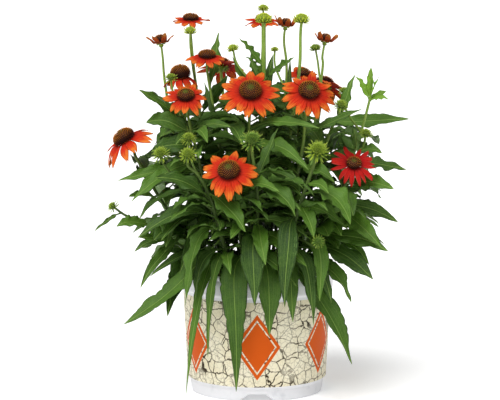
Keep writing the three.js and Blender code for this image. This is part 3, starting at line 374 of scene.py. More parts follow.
curves = [np.array([tuple(p) for p in stemCurve(i)], float) for i in range(len(stems))]
finePaths = [samplePath(curve, 100) for curve in curves]


def branchCurve(bud):
    root = pointAtHeight(finePaths[bud.stem], bud.start)
    ends = bud.neck(bud.size * plant["budGap"])
    middle = root + (ends[0] - root) * 0.55
    middle[2] = root[2] + (ends[0][2] - root[2]) * 0.45
    return [root, middle, *ends]


class Leaf:
    def __init__(self, stem, start, tip, reach, lift, wide, roll, chance):
        self.stem, self.wide, self.roll = stem, wide, math.radians(roll)
        self.root = pointAtHeight(finePaths[stem], start)
        self.end = np.array(tip, float)
        self.bend = self.root + (self.end - self.root) * reach
        self.bend[2] = (self.root[2] + self.end[2]) / 2 + lift
        self.wave = leafForm["waves"][0 if wide > leafForm["broad"] else 1]
        self.turns = leafForm["turns"][0] + leafForm["turns"][1] * chance
        self.chance = chance

    def length(self):
        return np.linalg.norm(self.root - self.bend) + np.linalg.norm(self.bend - self.end)

    def halfAt(self, s):
        stalk, petiole = plant["leafStalk"], plant["petioleHalf"]
        u = np.clip((s - stalk) / (1 - stalk), 0, 1)
        return petiole * (1 - u) + self.wide / 2 * np.sin(math.pi * u**0.75) ** 0.9

    def frames(self, s):
        s = np.asarray(s, float)[:, None]
        a, b, c = self.root, self.bend, self.end
        at = a * (1 - s) ** 2 + b * (2 * s * (1 - s)) + c * s * s
        along = unit((b - a) * (1 - s) + (c - b) * s)
        heading = math.atan2(c[1] - a[1], c[0] - a[0])
        face = unit(np.cross(along, (-math.sin(heading), math.cos(heading), 0)))
        side = np.cross(face, along)
        cos, sin = math.cos(self.roll), math.sin(self.roll)
        return at, side * cos + face * sin, face * cos - side * sin

    def touches(self):
        length = self.length()
        count = math.ceil(length / plant["touchStep"])
        s = np.arange(1, count + 1) / count
        at, side, face = self.frames(s)
        half = self.halfAt(s)
        edges = []
        for sign in (1, -1):
            wave = self.wave * np.sin(self.turns * s + sign * leafForm["waveShift"])
            out, up = sign * half * math.cos(plant["leafFold"]), half * math.sin(plant["leafFold"])
            up = up + wave * np.minimum(half / leafForm["fullWave"], 1)
            edges.append(at + side * out[:, None] + face * up[:, None])
        left, right = edges
        wide, broad = half > leafTouch["edgeHalf"], half > leafTouch["middleHalf"]
        points = [at, left[wide], right[wide], (left[broad] + at[broad]) / 2, (right[broad] + at[broad]) / 2]
        near = s * length < leafTouch["nearRoot"]
        flags = [near, near[wide], near[wide], near[broad], near[broad]]
        return np.concatenate(points).tolist(), np.concatenate(flags).tolist()


def outsidePot(x, y, z):
    out = math.hypot(x, y)
    if z < potClear["floor"]:
        return False
    if z > plant["rimTop"] + potClear["above"] or out > plant["rimRadius"] + potClear["beside"]:
        return True
    return z > plant["soilTop"] + potClear["soil"] and out < plant["rimRadius"] - potClear["inside"]


class Space:  # the points of all that has grown so far, in cells
    def __init__(self):
        self.cells = {}

    def add(self, points, owner, near, reach):
        size = plant["cellSize"]
        for (x, y, z), root in zip(points, near):
            entry = (x, y, z, owner, root, reach * reach)
            spans = [range(int((v - reach) // size), int((v + reach) // size) + 1) for v in (x, y, z)]
            for i in spans[0]:
                for j in spans[1]:
                    for k in spans[2]:
                        self.cells.setdefault((i, j, k), []).append(entry)

    def isClear(self, points, owner, near, ease=1):
        size = plant["cellSize"]
        for (x, y, z), root in zip(points, near):
            if not outsidePot(x, y, z):
                return False
            cell = (int(x // size), int(y // size), int(z // size))
            for a, b, c, other, otherRoot, reach in self.cells.get(cell, ()):
                if other == owner and (root or otherRoot):
                    continue
                if (x - a) ** 2 + (y - b) ** 2 + (z - c) ** 2 < reach * ease:
                    return False
        return True


def fillSpace(space):
    touch, count, firstBloomOwner = plant["touchReach"], touchPoints, 100

    def addAll(points, owner, always, reach):
        points = np.asarray(points, float).reshape(-1, 3).tolist()
        space.add(points, owner, [always] * len(points), reach)

    for i, curve in enumerate(curves):
        addAll(samplePath(curve, count["stem"]), i, True, plant["stemReach"])
    for bud in budList:
        if bud.start > 0:
            addAll(samplePath(branchCurve(bud), count["branch"]), bud.stem, True, plant["stemReach"])
        angles = np.arange(count["bud"]) * math.pi / (count["bud"] / 2)
        for out, high in budRings:
            addAll(bud.on(out * bud.size, angles, high * bud.size), bud.stem, False, touch)
    for bloom in bloomList:
        owner = firstBloomOwner + bloom.index
        for ray in bloom.rayList():
            s = np.arange(count["ray"]) * (1 / (count["ray"] - 1))
            out, high = bloom.rayLine(ray, s)
            middle = bloom.on(out, ray["angle"], high)
            across = bloom.v * math.cos(ray["angle"]) - bloom.u * math.sin(ray["angle"])
            for side in (-1, 0, 1):
                shift = side * bloom.rayHalf(s) + ray["bow"] * 6 * s * s
                addAll(middle + across * shift[:, None], owner, False, touch)
        angles = np.arange(count["cone"]) * math.pi / (count["cone"] / 2)
        for share in coneRings:
            out, high = bloom.coneLine(share)
            addAll(bloom.on(out, angles, high), owner, False, touch)
        angles = np.arange(count["bract"]) * math.pi / (count["bract"] / 2)
        addAll(bloom.on(bloom.cone[0] * 0.85, angles, -2.5), bloom.stem, False, touch)


def placeLeaf(row, space, chance, ease=1):
    stem, start, tip, reach, lift, wide, roll = row
    for k in range(placing["tries"]):
        grow, turn = math.ceil(k / 4) * placing["step"], k % 4
        shift = (0, (-grow, grow, 0, 0)[turn], grow if turn == 2 else 0)
        higher = lift + (grow if turn == 3 else 0)
        leaf = Leaf(stem, start, np.add(tip, shift), reach, higher, wide, roll, chance)
        points, near = leaf.touches()
        if space.isClear(points, stem, near, ease):
            return leaf
    return None


def hidesBloom(leaf):  # it passes in front of one
    for x, y, z in leaf.frames(np.array((0.5, 0.75, 1)))[0]:
        for _, at, _, _, cone, _, long, *_ in blooms:
            if y < at[1] and math.hypot(x - at[0], z - at[2]) < cone[0] + long:
                return True
    return False


def growLeaf(stem, start, heading, length, drop, wide, space, chance, ease=1):
    root = pointAtHeight(finePaths[stem], start)
    for k in range(growing["tries"]):
        turn = heading + (1 if k % 2 else -1) * math.ceil(k / 2) * growing["turn"]
        fall = drop * (growing["flatter"] if k % 3 == 2 else 1)
        tip = root + np.array((length * math.cos(turn), length * math.sin(turn), -fall))
        low = plant["lowReach"] + plant["lowFlare"] * tip[2]
        widest = min(plant["clumpReach"], low, plant["topReach"] - plant["topTaper"] * tip[2])
        if max(abs(tip[0]), abs(tip[1])) >= widest or tip[2] <= plant["lowestTip"]:
            continue
        roll = (chance - 0.5) * growing["roll"]
        leaf = Leaf(stem, start, tip, 0.5, length * growing["bend"], wide, roll, chance)
        points, near = leaf.touches()
        if not hidesBloom(leaf) and space.isClear(points, stem, near, ease):
            return leaf
    return None


# Leaves that only the dressed plant has. These shade the rim and the clump's foot, laid out as above
fringe = [
    (16, 208, (-4, -136, 127), 1, 46, 32, 0),
    (17, 232, (32, -142, 127), 1, 46, 26, 0),
    (17, 216, (56, -142, 128), 1, 24, 26, 0),
    (1, 172, (90, -108, 127), 0.8, 46, 26, 0),
    (22, 188, (-74, -110, 132), 0.9, 34, 20, 0),
    (4, 176, (-128, -112, 157), 0.5, 34, 18, 0),
    (7, 172, (92, -104, 128), 0.8, 36, 24, 10),
    (21, 176, (-98, -62, 122), 0.8, 20, 22, -20),
    (5, 176, (-58, -14, 182), 0.5, 14, 30, 0),
    (4, 176, (-60, -74, 178), 0.5, 14, 26, 0),
    (0, 178, (-40, -64, 186), 0.5, 14, 26, 0),
]
# The fringe leaves get tones below 0, a painted shade that makes them darker than the rest
fringeLook = dict(tone=(0.4, -0.6), ease=0.4)  # tones below 0, for the shade
# These small ones close the clump's gaps: broad ones in its heart, narrow ones all over, broad ones low down.
# Length and width are a least value and what chance adds, and ease is how near to others they may stand
infill = (
    dict(
        tiers=9, first=158, step=18, length=(50, 30), wide=(0.4, 0.16), ease=0.3, highest=320, rearmost=-30
    ),
    dict(
        tiers=18, first=162, step=11, length=(42, 40), wide=(0.24, 0.12), ease=0.35, highest=372, rearmost=-200
    ),
    dict(
        tiers=9, first=158, step=6, length=(42, 26), wide=(0.5, 0.2), ease=0.22, highest=212, rearmost=-70
    ),
)
infillLeaf = dict(spread=20, drop=(0.5, 0.3), bareTop=30)


def growLeaves():
    space = Space()
    fillSpace(space)
    draw = makeRandom(20)
    grown = []

    def keep(leaf):
        if leaf:
            points, near = leaf.touches()
            space.add(points, leaf.stem, near, plant["touchReach"])
            grown.append(leaf)

    for row in leaves:
        keep(placeLeaf(row, space, draw()))
    for tier in range(plant["tiers"]):
        for i, curve in enumerate(curves):
            start = plant["firstTier"] + tier * plant["tierStep"] + tierLeaf["spread"] * draw()
            heading = math.atan2(curve[0][1], curve[0][0]) + (draw() - 0.5) * tierLeaf["turn"]
            heading += tier * tierLeaf["tierTurn"]
            length = tierLeaf["length"][0] + tierLeaf["length"][1] * draw()
            steep, less, more = tierLeaf["drop"]
            drop = length * (steep - less * tier + more * draw())
            wide = length * (tierLeaf["wide"][0] + tierLeaf["wide"][1] * draw())
            chance = draw()
            if start < min(curve[-1][2] - tierLeaf["bareTop"], plant["highestRoot"]):
                keep(growLeaf(i, start, heading, length, drop, wide, space, chance))
    main = len(grown)
    for row in fringe:
        spread, least = fringeLook["tone"]
        keep(placeLeaf(row, space, draw() * spread + least, fringeLook["ease"]))
    for kind in infill:
        for tier in range(kind["tiers"]):
            for i, curve in enumerate(curves):
                start = kind["first"] + tier * kind["step"] + infillLeaf["spread"] * draw()
                heading, chance = 2 * math.pi * draw(), draw()
                length = kind["length"][0] + kind["length"][1] * draw()
                wide = length * (kind["wide"][0] + kind["wide"][1] * draw())
                drop = length * (infillLeaf["drop"][0] * draw() - infillLeaf["drop"][1])
                highest = min(curve[-1][2] - infillLeaf["bareTop"], kind["highest"])
                if start < highest and curve[1][1] > kind["rearmost"]:
                    keep(growLeaf(i, start, heading, length, drop, wide, space, chance, kind["ease"]))
    print(main, "main leaves,", len(grown) - main, "small ones")
    return grown, main


grownLeaves, mainLeaves = growLeaves()
print("plant grown")


def gridQuads(grid):
    return np.stack([grid[:-1, :-1], grid[1:, :-1], grid[1:, 1:], grid[:-1, 1:]], -1).reshape(-1, 4)


def fan(row, centre, flip):
    pairs = np.stack([row[:-1], row[1:]], -1)
    if flip:
        pairs = pairs[:, ::-1]
    return np.concatenate([pairs, np.full((len(pairs), 2), (centre, -1))], 1)


def roundGrid(rows, sides):  # the point numbers of closed rings, with the first repeated at the end
    ring = np.arange(rows * sides).reshape(rows, sides)
    return np.concatenate([ring, ring[:, :1]], 1)


class Build:  # gathers the points and faces of one piece
    def __init__(self):
        self.points, self.faces, self.kinds, self.place, self.span = [], [], [], [], []
        self.total = 0

    def add(self, points, faces, kind, place, span):
        points = np.asarray(points, float).reshape(-1, 3)
        self.points.append(points)
        self.faces.append(np.where(faces < 0, -1, faces + self.total))
        self.kinds.append(np.broadcast_to(kind, len(faces)))
        for kept, values in ((self.place, place), (self.span, span)):
            kept.append(np.stack([np.broadcast_to(v, len(points)) for v in values], -1))
        self.total += len(points)

    def piece(self, name, materials, node):
        points, faces = np.concatenate(self.points) * mm, np.concatenate(self.faces)
        sizes = np.where(faces[:, 3] < 0, 3, 4)
        mesh = bpy.data.meshes.new(name)
        mesh.vertices.add(len(points))
        mesh.vertices.foreach_set("co", points.ravel())
        mesh.loops.add(int(sizes.sum()))
        mesh.loops.foreach_set("vertex_index", faces[faces >= 0])
        mesh.polygons.add(len(faces))
        mesh.polygons.foreach_set("loop_start", np.cumsum(sizes) - sizes)
        mesh.polygons.foreach_set("material_index", np.concatenate(self.kinds))
        mesh.polygons.foreach_set("use_smooth", np.ones(len(faces), bool))
        mesh.update(calc_edges=True)
        for key, values in (("place", self.place), ("span", self.span)):
            layer = mesh.attributes.new(key, "FLOAT_VECTOR", "POINT")
            layer.data.foreach_set("vector", np.concatenate(values).astype(np.float32).ravel())
        for material in materials:
            mesh.materials.append(material)
        made = bpy.data.objects.new(name, mesh)
        bpy.context.scene.collection.objects.link(made)
        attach(made, "root")
        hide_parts(node)
        return made

    def blade(self, middle, normal, thick, kind, place, span):  # thin and closed: its faces meet at the rim
        rows, cols = middle.shape[:2]
        top = np.arange(rows * cols).reshape(rows, cols)
        low = top.copy()
        low[1:-1, 1:-1] = rows * cols + np.arange((rows - 2) * (cols - 2)).reshape(rows - 2, cols - 2)
        inner = np.zeros((rows, cols), bool)
        inner[1:-1, 1:-1] = True
        lift = normal * np.where(inner, thick, 0)[..., None]
        points = np.concatenate([(middle + lift).reshape(-1, 3), (middle - lift)[inner]])
        faces = np.concatenate([gridQuads(top), gridQuads(low)[:, ::-1]])
        values = [np.broadcast_to(v, (rows, cols)) for v in (*place, *span)]
        values = [np.concatenate([v.ravel(), v[inner]]) for v in values]
        values[5][rows * cols :] *= -1  # the underside
        self.add(points, faces, kind, values[:3], values[3:])

    def tube(self, path, radii, sides, kind, tone, ribs=0.0):
        path = np.asarray(path, float)
        along = unit(np.gradient(path, axis=0))
        across = np.array((1.0, 0, 0))
        angle = np.arange(sides) * 2 * math.pi / sides
        rings = []
        for at, way, radius in zip(path, along, radii):
            across = unit(across - way * (across @ way))
            up = np.cross(way, across)
            r = (radius * (1 + ribs * np.cos(angle * (sides // 2))))[:, None]
            rings.append(at + r * (across * np.cos(angle)[:, None] + up * np.sin(angle)[:, None]))
        share = np.linspace(0, 1, len(path))
        self.rings(np.stack(rings), path[0], path[-1], kind, (share, 0, tone))

    def dome(self, head, outs, highs, foot, top, sides, kind, place):
        angle = np.arange(sides)[None, :] * 2 * math.pi / sides
        ends = [head.at + head.w * high for high in (foot, top)]
        self.rings(head.on(outs[:, None], angle, highs[:, None]), *ends, kind, place)

    def turned(self, outline, kinds, angle, shape=None):  # the outline starts and ends on the axis
        outline = np.asarray(outline, float)
        r, z = (np.repeat(outline[1:-1, k, None], len(angle), 1) for k in (0, 1))
        if shape:
            r, z = shape(r, z, angle)
        grid = np.stack([r * np.cos(angle), r * np.sin(angle), z], -1)
        ends = [np.array((0, 0, outline[k, 1])) for k in (0, -1)]
        self.rings(grid, *ends, kinds, (0, 0, 0))

    def rings(self, grid, first, last, kind, place):
        # a closed body of rings: kind is one number, or one for each stretch between two rings
        rows, sides = grid.shape[:2]
        ring = roundGrid(rows, sides)
        walls = gridQuads(ring)[:, ::-1]
        ends = [fan(ring[0], rows * sides, True), fan(ring[-1], rows * sides + 1, False)]
        kinds = np.zeros(len(walls) + 2 * sides, int)
        kinds[: len(walls)] = np.repeat(np.broadcast_to(kind, rows - 1), sides)
        if np.isscalar(kind):
            kinds[:] = kind
        values = [np.broadcast_to(v, rows) for v in place]
        values = [np.append(np.repeat(v, sides), (v[0], v[-1])) for v in values]
        points = np.concatenate([grid.reshape(-1, 3), [first, last]])
        self.add(points, np.concatenate([walls, *ends]), kinds, values, (0, 0, 1))

    def spines(self, roots, ways, lengths, radii, kind, place):  # thorns with four sides and a point
        count = len(roots)
        ways = unit(ways)
        across = unit(np.cross(ways, np.where(np.abs(ways[:, 2:]) > 0.9, (1.0, 0, 0), (0, 0, 1.0))))
        up = np.cross(ways, across)
        points, share = [], []
        for step, wide in ((-0.15, 1.0), (0.45, 0.85)):
            for k in range(4):
                side = across * math.cos(k * math.pi / 2) + up * math.sin(k * math.pi / 2)
                points.append(roots + ways * (lengths * step)[:, None] + side * (radii * wide)[:, None])
                share.append(step)
        points.append(roots + ways * lengths[:, None])
        share.append(1)
        one = [(0, 3, 2, 1), *((k, (k + 1) % 4, 4 + (k + 1) % 4, 4 + k) for k in range(4))]
        one = np.array(one + [(4 + k, 4 + (k + 1) % 4, 8, -1) for k in range(4)])
        faces = np.where(one < 0, -1, one + 9 * np.arange(count)[:, None, None]).reshape(-1, 4)
        spread = [np.repeat(np.broadcast_to(v, count), 9) for v in place]
        self.add(np.stack(points, 1), faces, kind, (np.tile(share, count), *spread), (0, 0, 1))


class Wire:  # a node's socket: sums of wires become Math nodes
    def __init__(self, tree, socket=None):
        self.tree, self.socket = tree, socket

    def node(self, kind, settings=None, values=None, output=0):
        made = self.tree.nodes.new("ShaderNode" + kind)
        for key, value in (settings or {}).items():
            setattr(made, key, value)
        for key, value in (values or {}).items():
            if isinstance(value, Wire):
                self.tree.links.new(value.socket, made.inputs[key])
            else:
                made.inputs[key].default_value = value
        return Wire(self.tree, made.outputs[output])

    def maths(self, operation, *values):
        return self.node("Math", {"operation": operation}, dict(enumerate(values)))

    def __add__(self, other):
        return self.maths("ADD", self, other)

    def __sub__(self, other):
        return self.maths("SUBTRACT", self, other)

    def __rsub__(self, other):
        return self.maths("SUBTRACT", other, self)

    def __mul__(self, other):
        return self.maths("MULTIPLY", self, other)

    def __truediv__(self, other):
        return self.maths("DIVIDE", self, other)

    __radd__, __rmul__ = __add__, __mul__

    def size(self):
        return self.maths("ABSOLUTE", self)

    def sine(self):
        return self.maths("SINE", self)

    def smooth(self, low, high):  # 0 at low, 1 at high
        limits = {"Value": self, "From Min": low, "From Max": high}
        return self.node("MapRange", {"interpolation_type": "SMOOTHSTEP"}, limits)

    def stretch(self, *factors):
        return self.node("VectorMath", {"operation": "MULTIPLY"}, {0: self, 1: factors})

    def shift(self, other):
        return self.node("VectorMath", {"operation": "ADD"}, {0: self, 1: other})

    def split(self):
        first = self.node("SeparateXYZ", values={0: self})
        return [Wire(self.tree, socket) for socket in first.socket.node.outputs]

    def noise(self, size, detail=2.0, output=0):
        values = {"Vector": self, "Scale": 1 / size, "Detail": detail}
        return self.node("TexNoise", values=values, output=output)

    def cracks(self, size):  # the distance to the nearest edge between cells
        return self.node("TexVoronoi", {"feature": "DISTANCE_TO_EDGE"}, {"Vector": self, "Scale": 1 / size})

    def mix(self, first, second):  # this wire is the share of the second colour
        return self.node("Mix", {"data_type": "RGBA"}, {0: self, 6: first, 7: second}, 2)


def colour(*rgb):
    shares = [v / 255 for v in rgb]
    return (*[v / 12.92 if v <= 0.04045 else ((v + 0.055) / 1.055) ** 2.4 for v in shares], 1)


def startSkin(name):
    made = bpy.data.materials.new(name)
    made.use_nodes = True
    made.node_tree.nodes.clear()
    wire = Wire(made.node_tree)
    place = wire.node("Attribute", {"attribute_name": "place"}, output=1)
    span = wire.node("Attribute", {"attribute_name": "span"}, output=1)
    at = wire.node("TexCoord", output=3).stretch(1000, 1000, 1000)  # millimetres
    return made, wire, place.split(), span.split(), at


def endSkin(made, tint, roughness, height, passes=None, **fixed):
    wire = Wire(made.node_tree)
    normal = wire.node("Bump", values={"Height": height, "Distance": mm})
    values = {"Base Color": tint, "Roughness": roughness, "Normal": normal}
    values.update({key.replace("_", " "): value for key, value in fixed.items()})
    surface = wire.node("BsdfPrincipled", values=values)
    if passes:  # the share and colour of the light that comes through
        share, through = passes
        back = wire.node("BsdfTranslucent", values={"Color": through, "Normal": normal})
        surface = wire.node("MixShader", values={0: share, 1: surface, 2: back})
    last = made.node_tree.nodes.new("ShaderNodeOutputMaterial")
    made.node_tree.links.new(surface.socket, last.inputs["Surface"])
    return made


leafLook = dict(
    bright=colour(82, 122, 32),
    # deep: the dark end of the leaves' tone, darkened as painted shade
    deep=colour(38, 68, 20),
    rib=colour(142, 174, 80),
    under=colour(98, 132, 62),
    # rim: paler leaf edges, a painted edge highlight
    rim=colour(100, 132, 50),
    young=colour(138, 184, 52),
    gloss=0.46,
    through=(0.16, colour(110, 160, 24)),
)


def makeLeafSkin():
    made, wire, (_, t, tone), (far, across, half), _ = startSkin("leafSkin")
    flat = wire.node("CombineXYZ", values={0: far, 1: across, 2: tone * 53})
    patchy = flat.noise(16, 3)
    fine = flat.noise(1.1, 2)
    width = half.size()
    rib = across.size().smooth(0.75, 0.25)  # the midrib
    nerve = (t * (3 * math.pi)).sine().size() * width * 0.106
    nerve = nerve.smooth(0.45, 0.1) * width.smooth(2, 6)  # five long nerves
    mesh = flat.stretch(0.7, 1, 1).cracks(2.4).smooth(0.14, 0.02)  # the net of small veins
    # Tone differs at random from leaf to leaf and in patches; deep is darker than the leaves' own green, a
    # painted shade, most of all on the fringe leaves
    tint = (tone * 0.75 + patchy * 0.7 - 0.2).mix(leafLook["deep"], leafLook["bright"])
    tint = (nerve * 0.18 + mesh * 0.1).mix(tint, leafLook["rib"])
    # Paler at the very edge: a painted edge highlight
    tint = (t.size().smooth(0.93, 1.0) * 0.5).mix(tint, leafLook["rim"])
    tint = (half.smooth(0.05, -0.05) * 0.75).mix(tint, leafLook["under"])
    tint = (tone.smooth(1.1, 1.9) * 0.85).mix(tint, leafLook["young"])
    tint = (rib * 0.68).mix(tint, leafLook["rib"])
    height = fine * 0.14 - nerve * 0.22 - mesh * 0.1 - rib * 0.25 + patchy * 0.8
    rough = leafLook["gloss"] + fine * 0.16 - rib * 0.05
    return endSkin(made, tint, rough, height, leafLook["through"], Specular_IOR_Level=0.3)


stemLook = dict(
    green=colour(108, 140, 48),
    pale=colour(140, 166, 72),
    # low: the stems' colour low in the clump, darkened as painted shade
    low=colour(44, 66, 24),
    flush=colour(104, 84, 44),
    gloss=0.5,
)


def makeStemSkin():
    made, _, _, _, at = startSkin("stemSkin")
    streak = at.stretch(1, 1, 0.06).noise(0.9, 3)
    blotch = at.stretch(1, 1, 0.3).noise(9, 2)
    tint = streak.smooth(0.35, 0.65).mix(stemLook["green"], stemLook["pale"])
    tint = (blotch.smooth(0.55, 0.75) * 0.4).mix(tint, stemLook["flush"])
    # Darker towards the bottom: painted shade inside the clump
    tint = (at.split()[2].smooth(370, 250) * 0.85).mix(tint, stemLook["low"])
    hairs = at.noise(0.5, 2)
    rough = hairs * 0.15 + stemLook["gloss"]
    return endSkin(made, tint, rough, streak * 0.3 + hairs * 0.12, Specular_IOR_Level=0.3)


budLook = dict(
    fresh=colour(196, 214, 48),
    green=colour(72, 122, 34),
    tip=colour(196, 212, 84),
    heart=colour(68, 98, 28),
    gloss=0.55,
    through=(0.12, colour(150, 190, 50)),
)


def makeBudSkin():
    made, _, (s, t, tone), _, at = startSkin("budSkin")
    speck = at.noise(0.8, 3)
    tint = (tone + speck * 0.5 - 0.25).mix(budLook["green"], budLook["fresh"])
    tint = s.smooth(0.45, 0.0).mix(tint, budLook["heart"])
    tint = (s.smooth(0.6, 1.0) * 0.85).mix(tint, budLook["tip"])
    ridge = (t * 6).sine().size()
    rough = budLook["gloss"] + speck * 0.12
    return endSkin(made, tint, rough, speck * 0.25 - ridge * 0.1, budLook["through"])


rayLook = dict(
    orange=dict(
        root=(150, 14, 5), middle=(212, 46, 8), tip=(240, 132, 42), edge=(230, 96, 18), shade=(168, 22, 7)
    ),
    red=dict(
        root=(140, 10, 10), middle=(198, 24, 18), tip=(206, 40, 26), edge=(232, 140, 124), shade=(164, 14, 16)
    ),
    dull=dict(
        root=(110, 44, 12), middle=(196, 80, 20), tip=(222, 150, 70), edge=(214, 112, 40), shade=(150, 60, 18)
    ),
    gloss=0.62,
    through=0.2,
)


def makeRaySkin(key):
    look = {part: colour(*rgb) for part, rgb in rayLook[key].items()}
    made, wire, (s, t, tone), (far, across, _), _ = startSkin(key + "RaySkin")
    flat = wire.node("CombineXYZ", values={0: far * 0.09, 1: across, 2: tone * 91})
    streak = flat.noise(0.9, 3)
    cloud = flat.stretch(4, 0.4, 1).noise(3, 2)
    channel = (t * 3 * math.pi).sine().size()
    tint = (s * 1.15 + streak * 0.5 - 0.25).smooth(0.05, 0.5).mix(look["root"], look["middle"])
    tint = (tone * 0.9 + cloud * 0.8 - 0.75).smooth(0, 1).mix(tint, look["shade"])
    tint = (s * 0.9 + streak * 0.5 + cloud * 0.5 - 0.3).smooth(0.62, 1.05).mix(tint, look["tip"])
    tint = (t.size().smooth(0.6, 1.0) * s.smooth(0.3, 0.9) * 0.5).mix(tint, look["edge"])
    tint = (streak.smooth(0.55, 0.35) * 0.3 + channel.smooth(0.4, 0.0) * 0.3).mix(tint, look["shade"])
    height = streak * 0.3 + channel * 0.3
    rough, passes = rayLook["gloss"] + streak * 0.12, (rayLook["through"], look["middle"])
    return endSkin(made, tint, rough, height, passes, Specular_IOR_Level=0.2)


coneLook = dict(
    # foot and low are darker than the cone's own browns, a painted shade on its lower half; point is partly a
    # painted lit top
    foot=colour(14, 6, 4),
    flank=colour(58, 21, 8),
    crown=colour(80, 94, 22),
    point=colour(236, 146, 38),
    low=colour(98, 29, 12),
    gloss=0.6,
)


def makeConeSkin():
    made, _, (point, share, crown), _, at = startSkin("coneSkin")
    speck = at.noise(1.1, 2)
    patch = at.noise(7, 2)
    # Near-black at the foot, browner upwards: partly the cone's own colour, partly painted shade on its lower
    # half
    tint = (share + speck * 0.3 - 0.15).smooth(0.02, 0.7).mix(coneLook["foot"], coneLook["flank"])
    tint = (share.smooth(0.68, 1.0) * crown * 0.9).mix(tint, coneLook["crown"])
    # The spine points go from dark red low down to gold high up: partly their own colour, partly painted shade
    # below and painted light on top
    gold = (share + patch * 0.5 - 0.25).smooth(0.2, 0.62).mix(coneLook["low"], coneLook["point"])
    gold = (share.smooth(0.75, 1.0) * crown * 0.8).mix(gold, coneLook["crown"])
    tint = (point.smooth(0.2, 0.9) * 0.9).mix(tint, gold)
    return endSkin(made, tint, coneLook["gloss"] + speck * 0.15, speck * 0.3, Specular_IOR_Level=0.2)


leafShape = dict(
    rows=46, cols=13, smallRows=15, smallCols=9, thick=0.16, stalkThick=0.75, stalkEnd=0.16, rib=(0.3, 0.8)
)
youngShoot = dict(stem=19, above=352, tone=1.3)
leafVary = dict(
    twist=0.85, meander=0.055, droop=0.6, quilt=0.26, ripple=1.2, frill=1.9, edge=0.1, tooth=0.13, curl=7
)


def addLeaf(build, leaf, small):  # no two alike: each has its own twist, bend, frill and uneven edge
    rows, cols = (leafShape[key] for key in (("smallRows", "smallCols") if small else ("rows", "cols")))
    draw = makeRandom(int(leaf.chance * 100000) + 7)
    for _ in range(3):  # the first draws of near seeds are alike
        draw()
    vary = {key: value * (2 * draw() - 1) for key, value in leafVary.items()}
    turn, phase, left, right = (6.28 * draw() for _ in range(4))
    length = leaf.length()
    x = np.linspace(0, 1, rows)
    s = 0.004 + 0.993 * x * (1.2 - 0.2 * x)
    t = np.linspace(-1, 1, cols)[None, :]
    at, side, face = leaf.frames(s)
    lean = (vary["twist"] * (s - 0.45) * np.minimum(s * 4, 1))[:, None]
    side, face = side * np.cos(lean) + face * np.sin(lean), face * np.cos(lean) - side * np.sin(lean)
    bump = np.minimum(s * 3, 1) * (1 - s)
    at = at + side * (vary["meander"] * length * bump * np.sin(5 * s + phase))[:, None]
    at, side, face = (v[:, None, :] for v in (at, side, face))
    s, half = s[:, None], leaf.halfAt(s)[:, None]
    broad = np.minimum(half / 8, 1)
    uneven = np.where(t < 0, np.sin(9 * s + left), np.sin(8 * s + right))
    wander = np.where(t < 0, np.sin(21 * s + phase), np.sin(18 * s + turn))
    teeth = np.maximum(np.sin(length * s / 2.4 + np.where(t < 0, right, left) + 2 * wander), 0) ** 3
    bites = leafVary["tooth"] * teeth * np.abs(t) ** 4 * broad
    half = half * (1 + vary["edge"] * (uneven + 0.6 * wander) - bites)
    fold = plant["leafFold"] * (1.25 - 0.5 * s)
    up = half * np.sin(fold) * np.abs(t) ** 1.35 - vary["droop"] * half * 0.3 * np.abs(t) ** 2.5 * s
    wave = leaf.wave * t**2 * np.sin(leaf.turns * s + leafForm["waveShift"] * t)
    up = up + wave * np.minimum(half / leafForm["fullWave"], 1)
    frill = np.where(t < 0, np.sin(2.3 * leaf.turns * s + turn), np.sin(2.1 * leaf.turns * s + phase))
    up = up + leafVary["frill"] * (0.4 + draw()) * np.abs(t) ** 3 * frill * broad
    up = up + leafVary["ripple"] * np.sin(2.6 * leaf.turns * s + 5 * np.abs(t) + turn) * np.abs(t) * broad * 0.5
    up = up - leafVary["quilt"] * np.cos(6 * math.pi * t) * broad
    up = up + vary["curl"] * np.maximum(s - 0.7, 0) ** 2 * 8
    out = t * half * np.cos(fold)
    stalk = leafShape["stalkThick"] * np.exp(-((s / leafShape["stalkEnd"]) ** 2)) * np.sqrt(1 - 0.8 * t**2)
    ribThick, ribHalf = leafShape["rib"]
    thick = leafShape["thick"] + stalk + ribThick * np.exp(-((t * half / ribHalf) ** 2)) * (1 - s)
    young = youngShoot["tone"] * (leaf.stem == youngShoot["stem"] and leaf.root[2] > youngShoot["above"])
    # The third value is the leaf's tone: random from leaf to leaf, lighter on the young shoot, and below 0 on
    # the fringe leaves as painted shade
    place = (s, t, (0.25 + 0.75 * leaf.chance if small else leaf.chance) + young)
    span = (s * length, t * half, half)
    build.blade(at + side * out[..., None] + face * up[..., None], face, thick, 0, place, span)


bractShape = dict(rows=6, cols=5, thick=0.22)


def addBract(build, head, angle, out, high, pitch, curl, length, half, tone):
    x = np.linspace(0, 1, bractShape["rows"])
    t = np.linspace(-1, 1, bractShape["cols"])[None, :]
    slope = pitch + curl * x
    step = length / (len(x) - 1)
    outs = out + np.append(0, np.cumsum(np.cos(slope[:-1]))) * step
    highs = high + np.append(0, np.cumsum(np.sin(slope[:-1]))) * step
    width = half * (0.35 + 1.1 * x) ** 0.5 * np.maximum(1 - x, 0.03) ** 0.75 * 1.25
    radial = head.u * math.cos(angle) + head.v * math.sin(angle)
    across = head.v * math.cos(angle) - head.u * math.sin(angle)
    middle = head.on(outs, angle, highs)[:, None, :] + across * (t * width[:, None])[..., None]
    normal = (head.w * np.cos(slope)[:, None] - radial * np.sin(slope)[:, None])[:, None, :]
    middle = middle + normal * (0.35 * np.abs(t) * width[:, None])[..., None]
    x, width = x[:, None], width[:, None]
    build.blade(middle, normal, bractShape["thick"], 2, (x, t, tone), (x * length, t * width, 1))


